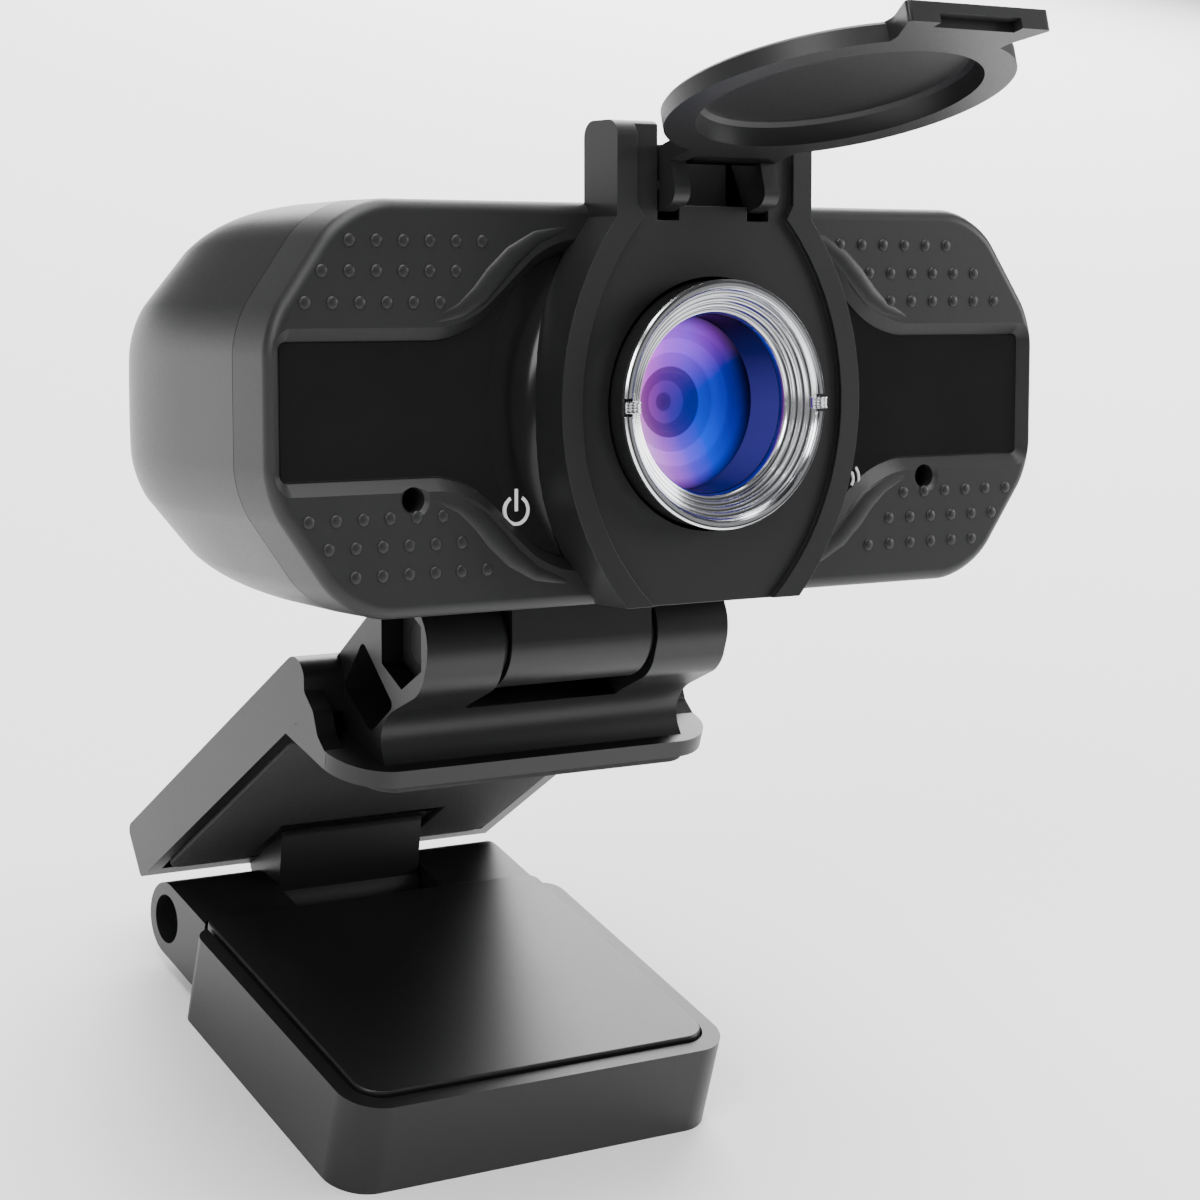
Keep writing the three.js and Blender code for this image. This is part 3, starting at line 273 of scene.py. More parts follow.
class Finish:
    """One material, built node by node around a Principled shader."""

    def __init__(self, name):
        self.material = bpy.data.materials.new(name)
        self.material.use_nodes = True
        self.tree = self.material.node_tree
        self.shader = self.tree.nodes["Principled BSDF"]

    def node(self, kind, settings=None, inputs=(), output=0):
        made = self.tree.nodes.new(kind)
        for key, value in (settings or {}).items():
            if key == "stops":
                self.set_stops(made.color_ramp, value)
            else:
                setattr(made, key, value)
        pairs = inputs.items() if isinstance(inputs, dict) else enumerate(inputs)
        for key, value in pairs:
            self.feed(made.inputs[key], value)
        return Value(self, made.outputs[output])

    def feed(self, socket, value):
        if isinstance(value, Value):
            self.tree.links.new(value.socket, socket)
        else:
            socket.default_value = value

    @staticmethod
    def set_stops(ramp, stops):
        while len(ramp.elements) < len(stops):
            ramp.elements.new(1.0)
        for element, (position, colour) in zip(ramp.elements, stops):
            element.position = position
            element.color = (*colour, 1.0) if len(colour) == 3 else colour

    def set(self, **values):
        for key, value in values.items():
            self.feed(self.shader.inputs[key.replace("_", " ")], value)

    def place(self, centre=(0, 0, 0), turn=0.0):
        """Object coordinates, measured from a centre and a tilt about X."""
        where = self.node("ShaderNodeTexCoord", output="Object")
        inputs = {"Vector": where, "Location": centre, "Rotation": (turn, 0, 0)}
        return self.node("ShaderNodeMapping", {"vector_type": "TEXTURE"}, inputs)

    def noise(self, where, scale, detail=3.0, roughness=0.5):
        inputs = {"Vector": where, "Scale": scale, "Detail": detail, "Roughness": roughness}
        return self.node("ShaderNodeTexNoise", {}, inputs, "Fac")

    def ramp(self, value, stops, interpolation="LINEAR"):
        made = self.node("ShaderNodeValToRGB", {"stops": stops}, [value])
        made.socket.node.color_ramp.interpolation = interpolation
        return made

    def mix(self, factor, first, second, blend="MIX"):
        settings = {"data_type": "RGBA", "blend_type": blend}
        return self.node("ShaderNodeMix", settings, {0: factor, 6: first, 7: second}, 2)

    def bump(self, height, distance, strength=1.0):
        inputs = {"Height": height, "Distance": distance, "Strength": strength}
        self.set(Normal=self.node("ShaderNodeBump", {}, inputs))


def grey(value, tint=(1, 1, 1)):
    return (value * tint[0], value * tint[1], value * tint[2], 1.0)


def moulded_plastic(name, tone, roughness, grain, depth):
    """Moulded plastic: a fine spark-eroded grain, with slow changes of tone and of gloss."""
    finish = Finish(name)
    where = finish.place()
    fine = finish.noise(where, grain, 4, 0.6)
    slow = finish.noise(where, 45, 2, 0.5)
    speck = finish.noise(where, grain * 0.35, 3, 0.7)
    cool = (0.97, 0.98, 1.04)
    dark, light = grey(tone * 0.78, cool), grey(tone * 1.2, cool)
    finish.set(
        Base_Color=finish.mix(slow * 0.6 + speck * 0.4, dark, light),
        Roughness=roughness + (slow - 0.5) * 0.1 + (fine - 0.5) * 0.16,
        Specular_IOR_Level=0.36,
    )
    finish.bump(fine, depth)
    return finish.material


def polished_plastic():
    """Polished plastic, with the faint haze and the few fine scuffs that it picks up."""
    finish = Finish("polished black plastic")
    where = finish.place()
    haze = finish.noise(where, 60, 4, 0.6)
    scuff = finish.noise(where, 900, 2, 0.8)
    finish.set(
        Base_Color=finish.mix(haze, grey(0.0035), grey(0.008)),
        Roughness=0.16 + haze * 0.06 + scuff * 0.03,
        Specular_IOR_Level=0.3,
    )
    return finish.material


def rubber():
    """Soft rubber: deep matt, with a pebbled surface."""
    finish = Finish("black rubber")
    where = finish.place()
    pebble = finish.noise(where, 2600, 3, 0.6)
    slow = finish.noise(where, 70, 3, 0.5)
    finish.set(
        Base_Color=finish.mix(slow, grey(0.012), grey(0.022)),
        Roughness=0.68 + pebble * 0.2,
    )
    finish.bump(pebble, 0.00005)
    return finish.material


def lens_axes(finish):
    """How far a point lies to the right of the lens axis, above it and away from it."""
    where = finish.place(LENS_PLACE, -LEAN)
    parts = finish.node("ShaderNodeSeparateXYZ", {}, [where])
    across = Value(finish, parts.socket.node.outputs["X"])
    up = Value(finish, parts.socket.node.outputs["Z"])
    return where, across, up, (across * across + up * up).math("SQRT")


def turned_silver():
    """Turned and plated metal: fine circular tool marks about the lens axis."""
    finish = Finish("turned silver")
    where, _, _, radius = lens_axes(finish)
    marks = (radius * 42000.0).math("SINE") * 0.5 + 0.5
    grooves = (radius * 11200.0).math("SINE") * 0.5 + 0.5
    patch = finish.noise(where, 260, 3, 0.5)
    shade = finish.ramp(grooves * 0.8 + patch * 0.2, [
        (0.12, (0.16, 0.16, 0.18)), (0.32, (0.55, 0.56, 0.58)), (0.8, (0.86, 0.87, 0.89)),
    ])
    finish.set(Base_Color=shade, Metallic=1.0, Roughness=0.1 + marks * 0.06 + patch * 0.06)
    finish.bump(marks, 0.000006)
    return finish.material


def lens_painted_reflections():
    """The elements in the lens: painted reflections of their coatings, pink on the left to blue on the right, in
    painted rings of light and shade, glowing by emission.
    """
    finish = Finish("lens elements with painted reflections and glow")
    where, across, up, radius = lens_axes(finish)
    side = across / 0.0188 + up / 0.075 + 0.5
    # painted reflection: pink on the left through violet to blue, and dark on the far right
    painted_reflection_hue = finish.ramp(side, [
        (0.0, (1.0, 0.62, 1.0)), (0.22, (0.85, 0.38, 1.0)), (0.38, (0.5, 0.12, 0.95)),
        (0.52, (0.12, 0.06, 0.95)), (0.66, (0.0, 0.05, 0.9)), (0.84, (0.0, 0.015, 0.4)),
        (1.0, (0.0, 0.0, 0.05)),
    ])
    # painted rings of light and shade across the radius, dark at the rim
    rings = finish.ramp(radius / 0.0094, [
        (step, (tone, tone, tone)) for step, tone in (
            (0.0, 0.16), (0.1, 0.2), (0.11, 0.34), (0.24, 0.36), (0.25, 0.24),
            (0.4, 0.26), (0.41, 0.72), (0.56, 0.78), (0.57, 1.0), (0.72, 1.0),
            (0.73, 0.8), (0.86, 0.7), (0.94, 0.3), (1.0, 0.02),
        )
    ])
    # painted pink reflection towards the upper left
    painted_pink_reflection = finish.ramp((up / 0.0188 + 0.5) - (across / 0.0188), [
        (0.35, (0, 0, 0)), (0.7, (0.5, 0.0, 0.2)), (1.0, (0.7, 0.02, 0.3)),
    ])
    cloud = finish.noise(where, 300, 2, 0.5)
    painted_reflection_tint = finish.mix(0.5, painted_reflection_hue, painted_pink_reflection, "ADD")
    colour = finish.mix(1.0, painted_reflection_tint, rings, "MULTIPLY")
    # the painted colour glows by emission over a near-black base
    finish.set(
        Base_Color=finish.mix(0.97, colour, grey(0.0)),
        Roughness=0.12 + cloud * 0.08,
        Emission_Color=colour,
        Emission_Strength=1.5,
        Specular_IOR_Level=0.1,
    )
    return finish.material


def lens_glass():
    """Clear glass with a faint violet coating."""
    finish = Finish("front glass")
    where = finish.place(LENS_PLACE, -LEAN)
    smear = finish.noise(where, 220, 3, 0.5)
    finish.set(
        Base_Color=finish.mix(smear, (0.02, 0.01, 0.1, 1), (0.04, 0.02, 0.14, 1)),
        Roughness=0.03 + smear * 0.04,
        Alpha=0.03,
        Specular_IOR_Level=0.3,
    )
    return finish.material


def barrel_wall():
    """The inside of the lens barrel: black, with a painted blue reflection of the coating towards the right that
    glows by emission.
    """
    finish = Finish("barrel wall with painted blue glow")
    where, across, up, _ = lens_axes(finish)
    tone = finish.noise(where, 200, 2, 0.5)
    # painted blue reflection, brighter towards the right and below the axis, also used as glowing emission
    painted_blue_reflection = finish.ramp(across / 0.019 - up / 0.06 + 0.5, [
        (0.0, (0.0, 0.0, 0.01)), (0.6, (0.003, 0.003, 0.02)),
        (0.82, (0.02, 0.02, 0.22)), (1.0, (0.1, 0.08, 0.6)),
    ])
    finish.set(
        Base_Color=finish.mix(0.96, painted_blue_reflection, grey(0.0)),
        Roughness=0.3 + tone * 0.12,
        Emission_Color=painted_blue_reflection,
        Emission_Strength=0.35,
        Specular_IOR_Level=0.1,
    )
    return finish.material


def mottled(name, noise, dark, light, gloss, spread, depth=0.0, **others):
    """A finish whose tone and roughness vary together with one fine noise."""
    finish = Finish(name)
    mottle = finish.noise(finish.place(), *noise)
    colour = finish.mix(mottle, dark, light)
    finish.set(Base_Color=colour, Roughness=gloss + mottle * spread, **others)
    if depth:
        finish.bump(mottle, depth)
    return finish.material


def finishes(colours):
    """Every finish of the webcam, by name."""
    shell, clip, face = colours.shell_tone, colours.clip_tone, colours.face_tone
    return {
        "shell": moulded_plastic("satin shell plastic", shell, 0.36, 3200, 0.000007),
        "clip": moulded_plastic("satin clip plastic", clip, 0.38, 2800, 0.000009),
        "face": moulded_plastic("matt face plastic", face, 0.47, 3600, 0.00001),
        "cover": moulded_plastic("cover plastic", colours.cover_tone, 0.42, 3400, 0.000008),
        "pad": moulded_plastic("pad plastic", clip, 0.36, 2600, 0.000004),
        "gloss": polished_plastic(),
        "rubber": rubber(),
        "silver": turned_silver(),
        "steel": mottled(
            "plated steel", (1400, 5, 0.7), (0.42, 0.43, 0.45, 1), (0.6, 0.61, 0.63, 1),
            0.28, 0.2, 0.00001, Metallic=1.0,
        ),
        "black_steel": mottled(
            "blackened steel", (900, 4, 0.6), grey(0.012), grey(0.03),
            0.42, 0.18, 0.00001, Metallic=0.6,
        ),
        "brass": mottled(
            "turned brass", (1800, 4, 0.6), (0.5, 0.33, 0.1, 1), (0.72, 0.52, 0.2, 1),
            0.25, 0.18, 0.00001, Metallic=1.0,
        ),
        "painted_lens_light": lens_painted_reflections(),
        "glass": lens_glass(),
        "wall": barrel_wall(),
        "mark": mottled("printed mark", (900, 3, 0.6), grey(0.62), grey(0.82), 0.5, 0.15),
        "board": mottled(
            "board green", (420, 2, 0.4), (0.01, 0.1, 0.04, 1), (0.03, 0.2, 0.08, 1),
            0.3, 0.2, 0.00002,
        ),
        "clear": mottled(
            "clear plastic", (300, 3, 0.5), grey(0.7), grey(0.9), 0.1, 0.1, Alpha=0.5,
        ),
    }


MATERIALS = {}


# ---------------------------------------------------------------- head


def mirrored(quarter):
    """A whole outline from the corners of its upper right quarter, taken anticlockwise."""
    def flip(corners, x, z):
        return [(x * c[0], z * c[1], *c[2:]) for c in corners]

    return quarter + flip(quarter, -1, 1)[::-1] + flip(quarter, -1, -1) + flip(quarter, 1, -1)[::-1]


def head_outline(sizes, inset=0.0):
    x = sizes.width / 2 - inset
    z = sizes.height / 2 - inset
    radius = sizes.corner_radius - inset / 2
    return mirrored([(x, z - sizes.corner_down, radius), (x - sizes.corner_across, z, radius)])


def panel_outline(sizes, grow=0.0):
    """The gloss panel: straight ends that widen in a soft curve towards the lens."""
    x = sizes.panel_half_length + grow
    low = sizes.panel_half_height + grow
    high = 16.0 + grow
    end = 0.5 + 1.4 * max(grow, 0)
    return mirrored([(x, low, end), (27.4, low, 9.0), (17.2, high, 9.5)])


def tapered(corners, top, bottom, steps=10):
    """A cutting shape whose walls slope inwards by as much as it is deep."""
    bm = prism(corners, "Y", top - 5, top, steps)
    floor = max(bm.faces, key=lambda face: face.calc_center_median().y)
    deep = bottom - top
    bmesh.ops.inset_individual(bm, faces=[floor], thickness=deep, depth=deep, use_even_offset=True)
    return closed(bm)


def make_bezel(sizes):
    """The face with its rounded rim, the panel's recess and the two microphone holes."""
    front = -sizes.face_proud
    wall = 2.2
    mic_x, mic_z = 33.6, -9.0
    body = prism(head_outline(sizes), "Y", front, BEZEL_DEPTH, 14)
    rim = [e for e in body.edges if all(abs(v.co.y - front) < 1e-4 for v in e.verts)]
    bmesh.ops.bevel(
        body, geom=rim, offset=sizes.face_proud, offset_type="OFFSET", segments=6,
        profile=0.5, affect="EDGES", clamp_overlap=True, material=-1,
    )
    inside = prism(head_outline(sizes, wall), "Y", wall, 10, 10)
    recess = tapered(panel_outline(sizes, 1.2), front, -0.1)
    flare = [(0, -5), (1.75, -5), (1.75, front), (1.3, front + 0.4), (1.3, 8), (0, 8)]
    mics = [moved(turned(flare, "Y", 32), (side * mic_x, 0, mic_z)) for side in SIDES]
    return shaped(body, cut=[inside, recess, rod(LENS_BORE, -9, 9), *mics])


SHOULDER_LINE = (
    (31.6, 8.9), (28.6, 9.9), (26.4, 11.4), (24.6, 13.3), (22.4, 15.4), (19.6, 17.2), (16.0, 18.2),
)


def make_shoulder(side, up):
    """One of the four soft lips that follow the shoulders of the gloss panel."""
    inward = 1.3 if side > 0 else 0.5
    centre = [(x - inward, z) for x, z in SHOULDER_LINE]
    last, arcs = len(centre) - 1, 8
    bm = bmesh.new()
    rings = []
    for index, (x, z) in enumerate(centre):
        before, after = Vector(centre[max(index - 1, 0)]), Vector(centre[min(index + 1, last)])
        out = (after - before).normalized().orthogonal()
        full = math.sin(math.pi * index / last)
        ring = []
        for k in range(arcs + 1):
            angle = math.pi * k / arcs
            shift = out * (math.cos(angle) * (0.5 + 0.8 * full))
            depth = -1.2 - (0.22 + 0.3 * full) * math.sin(angle)
            ring.append(bm.verts.new((side * (x + shift.x), depth, up * (z + shift.y))))
        rings.append(ring)
    for low, high in zip(rings, rings[1:]):
        for k in range(arcs):
            bm.faces.new((low[k], low[k + 1], high[k + 1], high[k]))
        bm.faces.new((low[-1], low[0], high[0], high[-1]))
    bm.faces.new(rings[0])
    bm.faces.new(rings[-1][::-1])
    return closed(bm)


DOT_ROWS = (  # where each row starts across the face, and its height
    (-40.9, 16.8), (-44.0, 13.8), (-45.9, 10.7), (20.8, 16.9), (25.0, 13.8), (28.1, 10.7),
    (-45.7, -10.7), (-43.5, -13.5), (-40.5, -16.4), (30.3, -10.7), (28.2, -13.5), (25.2, -16.4),
)
DOTS_IN_ROW, DOT_PITCH = 6, 3.07
DOT_RADIUS, DOT_FLATNESS = 0.66, 0.34


def make_dots(sizes):
    """Rows of small raised dots in the four corners of the face."""
    bm = bmesh.new()
    for start, z in DOT_ROWS:
        for k in range(DOTS_IN_ROW):
            dot = bmesh.ops.create_uvsphere(bm, u_segments=14, v_segments=8, radius=DOT_RADIUS)
            bmesh.ops.scale(bm, vec=(1, DOT_FLATNESS, 1), verts=dot["verts"])
            place = (start + DOT_PITCH * k, -sizes.face_proud, z)
            bmesh.ops.translate(bm, vec=place, verts=dot["verts"])
    return bm


def softened(x, z, sizes, weight):
    """An outline's point, moved towards a plain superellipse of the same width and height."""
    half_width, half_height = sizes.width / 2, sizes.height / 2
    angle = math.atan2(z / half_height, x / half_width)
    across, up = math.cos(angle), math.sin(angle)
    reach = (abs(across) ** 3 + abs(up) ** 3) ** (-1 / 3)
    return Vector((x, z)).lerp(Vector((half_width * across * reach, half_height * up * reach)), weight)


def make_shell(sizes):
    """The domed back: the head's outline drawn in towards the rear along two superellipses."""
    def is_long(edge):
        one, other = edge.verts
        return abs(one.co.y - other.co.y) < 0.01 and edge.calc_length() > 8

    bm = prism(head_outline(sizes), "Y", BEZEL_DEPTH + 0.08, 7.0, 14)
    sides = [edge for edge in bm.edges if is_long(edge)]
    bmesh.ops.subdivide_edges(bm, edges=sides, cuts=15, use_grid_fill=False)
    cap = max(bm.faces, key=lambda face: face.calc_center_median().y)
    outline = [(vert.co.x, vert.co.z) for vert in cap.verts]
    start, rear, stages = 6.3, sizes.depth, 40
    for k in range(1, stages + 1):
        along = math.sin(k / stages * math.pi / 2 * 0.985) ** (2 / sizes.squareness)
        wide = (1 - along ** sizes.squareness) ** (1 / sizes.squareness)
        tall = (1 - along ** sizes.crown) ** (1 / sizes.crown)
        y = start + (rear - start) * along
        if y < 7.2:
            continue
        weight = sizes.softening * along * along * (3 - 2 * along)
        cap = bmesh.ops.extrude_discrete_faces(bm, faces=[cap])["faces"][0]
        for vert, (x, z) in zip(cap.verts, outline):
            place = softened(x, z, sizes, weight)
            vert.co = (place.x * wide, y, place.y * tall)
    return closed(bm)


def hollow_shell(sizes):
    """The domed shell as a wall, with the swivel's boss, two screw ways and the cord's hole."""
    outer = make_shell(sizes)
    inside = make_shell(sizes)
    bmesh.ops.scale(inside, vec=(0.96, 0.945, 0.905), verts=inside.verts)
    moved(inside, (0, -2.0, 0))
    ways = [rod(2.5, 20, 60, "Y", (side * 41, 0, 0)) for side in SIDES]
    boss = rod(8.6, -sizes.height / 2, -sizes.height / 2 + 4, "Z", (0, 23.9, 0), 64)
    return shaped(outer, add=[boss], cut=[inside, rod(4.75, 30, 60, "Y"), *ways])


def cover_outline(sizes, inset=0.0):
    """Half-round sides, cut flat below and drawn in to two posts above."""
    bottom = -20.85 if not inset else -24.0
    centre = sizes.cover_side_radius - sizes.cover_half_width
    radius = sizes.cover_side_radius - inset
    low = math.asin(bottom / radius)
    high = math.asin(19.4 / radius)
    angles = [low + (high - low) * k / 20 for k in range(21)]
    side = [(radius * math.cos(a) - centre, radius * math.sin(a)) for a in angles]
    post = 12.6 - inset
    top = 29.2 if not inset else 40.0
    return both_sides(side + [(post, 20.8), (post, top)])


def make_cover_base(sizes):
    """The plate round the lens, sunk inside its band, with two posts for the lid's hinge."""
    front, back = -6.6, -0.5
    wall = back - 1.8
    rounding = shaped(
        block(-20, 20, -12, 6, 25, 40),
        cut=[prism([(front, 0), (back, 0), (back, 29.2, 1.7), (front, 29.2, 1.7)], "X", -21, 21)],
    )
    slots = [block(*span(side * 4.4, side * 7.2), -20, wall, 19.1, 40) for side in SIDES]
    return shaped(
        prism(cover_outline(sizes), "Y", front, back),
        cut=[
            prism(cover_outline(sizes, 2.5), "Y", front - 2, front + 0.6),
            block(-7.2, 7.2, front - 2, wall, 20.6, 40),
            block(-7.2, 7.2, wall - 1, 5, 27, 40),
            *slots,
            rounding,
            rod(13.3, -20, 20, "Y", (0, 0, 0), 96),
            rod(0.7, -8.9, 8.9, "X", (0, -5.2, 22.65), 24),
        ],
    )


def make_collar(sizes):
    """The hollow curve that rises from the panel to the cover's base."""
    inner, outer, rise = 13.9, 24.3, 2.8
    face = -0.28
    angles = [k * math.pi / 16 for k in range(9)]
    curve = [(21.8 - rise * math.sin(a), face - rise * (1 - math.cos(a))) for a in angles]
    collar = turned([
        (inner, 0.3), (outer, 0.3), (outer, -0.22), (24.1, face),
        *curve, (18.0, face - rise), (inner, face - rise),
    ], "Y", 128)
    return shaped(collar, keep=[prism(panel_outline(sizes, -0.2), "Y", -6, 0.6, 10)])


class WEBCAM_OT_head(bpy.types.Operator):
    """Build the bezel, gloss panel, domed shell and their small parts"""

    bl_idname = "webcam.head"
    bl_label = "Head"

    def execute(self, context):
        sizes = context.scene.webcam_head
        here = {"body": "head", "place": HEAD}
        face = {"slot": "face_black", "material": MATERIALS["face"], **here}
        gloss = {"slot": "gloss_black", "material": MATERIALS["gloss"], **here}
        finished("front_face", make_bezel(sizes),
                 stands_for=["front_bezel"], edge=0.18, rounds=2, **face)
        panel = prism(panel_outline(sizes, -0.15), "Y", -0.2, 0.7, 10)
        panel = shaped(panel, cut=[rod(LENS_BORE, -9, 9)])
        finished("gloss_panel", panel, stands_for=["front_panel"], edge=0.1, rounds=2, **gloss)
        finished("panel_collar", make_collar(sizes), edge=0, crease=35, **gloss)
        for index, (side, up) in enumerate((x, z) for x in SIDES for z in SIDES):
            lip = make_shoulder(side, up)
            finished(f"shoulder_lip_{index}", lip, edge=0, crease=80, **face)
        finished("grip_dots", make_dots(sizes), edge=0, crease=80, **face)
        finished("domed_shell", hollow_shell(sizes), slot="satin_black", material=MATERIALS["shell"],
                 stands_for=["rear_shell"], edge=0, crease=30, **here)
        return {"FINISHED"}


class WEBCAM_OT_marks(bpy.types.Operator):
    """Print the power sign and the sound waves on the gloss panel"""

    bl_idname = "webcam.marks"
    bl_label = "Printed marks"

    def execute(self, context):
        proud, sunk = -0.36, -0.1
        print_of = {
            "body": "head", "slot": "gloss_black", "material": MATERIALS["mark"],
            "place": HEAD, "edge": 0,
        }
        power_x, power_z = -20.9, -10.6
        arc = bmesh.new()
        section = ((1.25, proud), (1.6, proud), (1.6, sunk), (1.25, sunk))
        ring = [arc.verts.new((radius, depth, 0)) for radius, depth in section]
        edges = [arc.edges.new((ring[i - 1], ring[i])) for i in range(4)]
        ends = arc.faces.new(ring)
        start = Matrix.Rotation(math.radians(-60), 3, "Y")
        bmesh.ops.rotate(arc, cent=(0, 0, 0), matrix=start, verts=arc.verts)
        bmesh.ops.spin(
            arc, geom=[ends, *edges, *ring], cent=(0, 0, 0), axis=(0, 1, 0),
            angle=math.radians(300), steps=40,
        )
        moved(arc, (power_x, 0, power_z))
        finished("power_mark_ring", closed(arc), **print_of)
        bar = block(power_x - 0.18, power_x + 0.18, proud, sunk, power_z - 0.1, power_z + 2.2)
        finished("power_mark_bar", bar, **print_of)
        for index, radius in enumerate((1.0, 1.8)):
            outer = radius + 0.3
            wave = turned([(radius, proud), (outer, proud), (outer, sunk), (radius, sunk)], "Y", 64)
            wedge = prism([(0, 0), (4, -3.2), (4, 3.2)], "Y", -3, 3)
            wave = moved(shaped(wave, keep=[wedge]), (22.7, 0, -9.0))
            finished(f"sound_mark_{index}", wave, **print_of)
        return {"FINISHED"}


def make_lid():
    """The lid seen lying flat: a dished disc, its finger tab and two hinge arms with pivots."""
    inner, outer, centre = 1.7, 3.7, -22.65
    radius, hollow, depth = 17.5, 14.3, 2.3
    crown, floor = inner + depth + 1.2, inner + depth
    dome = [
        (0, inner), (radius, inner), (radius, outer - 0.3), (radius - 0.3, outer),
        (hollow + 0.6, outer), (hollow - 0.6, outer + 0.7),
        (hollow - 2.2, crown - 0.1), (hollow - 4, crown + 0.1), (0, crown + 0.3),
    ]
    disc = moved(turned(dome, "Z", 128), (0, centre, 0))
    waist, tip, root, throat = 6.8, centre - 21.4, centre + 14, -4.6
    tab = both_sides([(waist, centre - 12), (waist, centre - 17.2, 2.5), (8.8, tip, 0.4)])
    neck = both_sides([(waist, root), (waist, throat, 1)])
    flats = [prism(outline, "Z", inner, outer) for outline in (tab, neck)]
    strut = [(root, inner), (root, outer), (-1.2, outer, 1.6), (-0.5, inner), (-3.4, inner)]
    front = [(-3.1, 1.8), (-3.1, -2.6, 1.6), (0.3, -2.6), (0.3, 1.8)]
    arms = []
    for side in SIDES:
        x0, x1 = span(side * 4.8, side * waist)
        arms.append(prism(strut, "X", x0, x1))
        arms.append(rod(2.7, x0, x1, "X"))
        arms.append(prism(front, "X", x0 + 0.004, x1 - 0.004))
        arms.append(rod(0.6, *span(side * 6.4, side * 8.7), "X", (0, 0, 0), 24))
    bowl = moved(turned([
        (0, inner - 1), (hollow, inner - 1), (hollow, inner + 0.1), (hollow - 0.15, inner + 0.9),
        (hollow - 0.5, floor - 0.5), (hollow - 1.0, floor - 0.1), (hollow - 1.6, floor), (0, floor),
    ], "Z", 128), (0, centre, 0))
    grip = block(-5, 5, tip - 1, tip + 1.2, inner - 1, inner + 1)
    return shaped(disc, add=[*flats, *arms], cut=[bowl, grip])


class WEBCAM_OT_cover(bpy.types.Operator):
    """Build the base of the privacy cover and its lid"""

    bl_idname = "webcam.cover"
    bl_label = "Privacy cover"

    def execute(self, context):
        sizes = context.scene.webcam_head
        look = {"slot": "satin_black", "material": MATERIALS["cover"], "rounds": 3, "crease": 28}
        finished("cover_plate", make_cover_base(sizes), "head",
                 stands_for=["cover_base"], place=HEAD, edge=0.4, **look)
        finished("lid", make_lid(), "lid", stands_for=["privacy_lid"], place=LID, edge=0.22, **look)
        return {"FINISHED"}


def make_barrel():
    front, radius, bore, throat = -8.0, 12.9, 9.6, 6.2
    return turned([
        (12.05, front), (radius - 0.15, front), (radius, front + 0.15), (radius, 9.0), (throat, 9.0),
        (throat, 7.0), (bore, 7.0), (bore, -5.0), (12.05, -5.0),
    ], "Y", 128)


def make_silver_ring():
    """The trim ring: a polished lip, then four steps down to the glass, and a notch on each side."""
    lip_front, lip_back, seat = -8.7, -8.1, 11.85
    radius, depth = 11.95, -8.35
    steps = [(13.05, lip_back), (13.05, -8.5), (12.85, lip_front), (12.3, lip_front), (radius, depth)]
    for _ in range(4):
        radius, depth = radius - 0.16, depth + 0.42
        steps.append((radius, depth))
        radius, depth = radius - 0.4, depth + 0.06
        steps.append((radius, depth))
    steps += [(9.5, -6.1), (9.45, -5.6), (9.45, -5.2), (seat, -5.2), (seat, lip_back)]
    notches = [block(*span(side * 12.0, side * 14), -10, lip_back, -0.95, 0.95) for side in SIDES]
    return shaped(turned(steps, "Y", 160), cut=notches)


def make_nub(side):
    """A finger nub with three fine grooves."""
    across = span(side * 11, side * 14)
    grooves = [block(*across, -9.5, -8.75, z - 0.09, z + 0.09) for z in (-0.3, 0, 0.3)]
    return shaped(block(*span(side * 11.2, side * 13.1), -8.9, -8.15, -0.6, 0.6), cut=grooves)


class WEBCAM_OT_lens(bpy.types.Operator):
    """Build the lens: barrel, stepped silver ring, glass and the elements behind it"""

    bl_idname = "webcam.lens"
    bl_label = "Lens"

    def execute(self, context):
        here = {"body": "lens", "place": HEAD}
        black = {"slot": "satin_black", "edge": 0, **here}
        silver = {"slot": "silver_trim", "material": MATERIALS["silver"], "rounds": 2, **here}
        coated = {"slot": "coated_glass", "edge": 0, **here}
        finished("barrel", make_barrel(), material=MATERIALS["cover"],
                 stands_for=["lens_barrel"], crease=25, **black)
        finished("silver_ring", make_silver_ring(), stands_for=["lens_trim_ring"],
                 edge=0.06, crease=25, **silver)
        for side, name in zip(SIDES, ("left", "right")):
            finished(f"nub_{name}", make_nub(side),
                     stands_for=[f"focus_nub_{name}"], edge=0.05, **silver)
        wall = turned([(9.5, -5.2), (9.5, 3.4), (9.3, 3.4), (9.3, -1.0), (9.38, -5.2)], "Y", 128)
        # the wall's finish paints a blue reflection that glows
        finished("barrel_wall", wall, material=MATERIALS["wall"], crease=40, **black)
        # the stepped bowl behind the glass carries the painted reflections and glow of the coatings
        elements = turned([
            (0, 2.9), (1.2, 2.85), (1.25, 2.6), (3.1, 2.3), (3.2, 1.9), (5.4, 1.3), (5.5, 0.9),
            (7.6, 0.3), (7.7, 0.1), (9.25, -0.5), (9.25, 3.4), (0, 3.4),
        ], "Y", 128)
        finished("lens_elements", elements, material=MATERIALS["painted_lens_light"],
                 stands_for=["aperture_stop", "imaging_lens"], crease=25, **coated)
        radius, crown, rise = 9.3, -1.7, 1.2
        angles = [k / 12 * math.pi / 2 for k in range(13)]
        bulge = [(radius * math.sin(a), crown + rise * (1 - math.cos(a))) for a in angles]
        glass = turned([*bulge, (radius, -0.3), (0, -0.9)], "Y", 128)
        finished("front_glass", glass, material=MATERIALS["glass"],
                 stands_for=["front_lens"], crease=40, **coated)
        return {"FINISHED"}


# ---------------------------------------------------------------- clip


def leg_point(sizes, up, out, radius=None):
    """A point (y, z) on the leg: up along it from the fold axis, and out towards its back."""
    angle = sizes.leg_angle
    y = FOLD.y - up * math.cos(angle) + out * math.sin(angle)
    z = FOLD.z + up * math.sin(angle) + out * math.cos(angle)
    return (y, z) if radius is None else (y, z, radius)


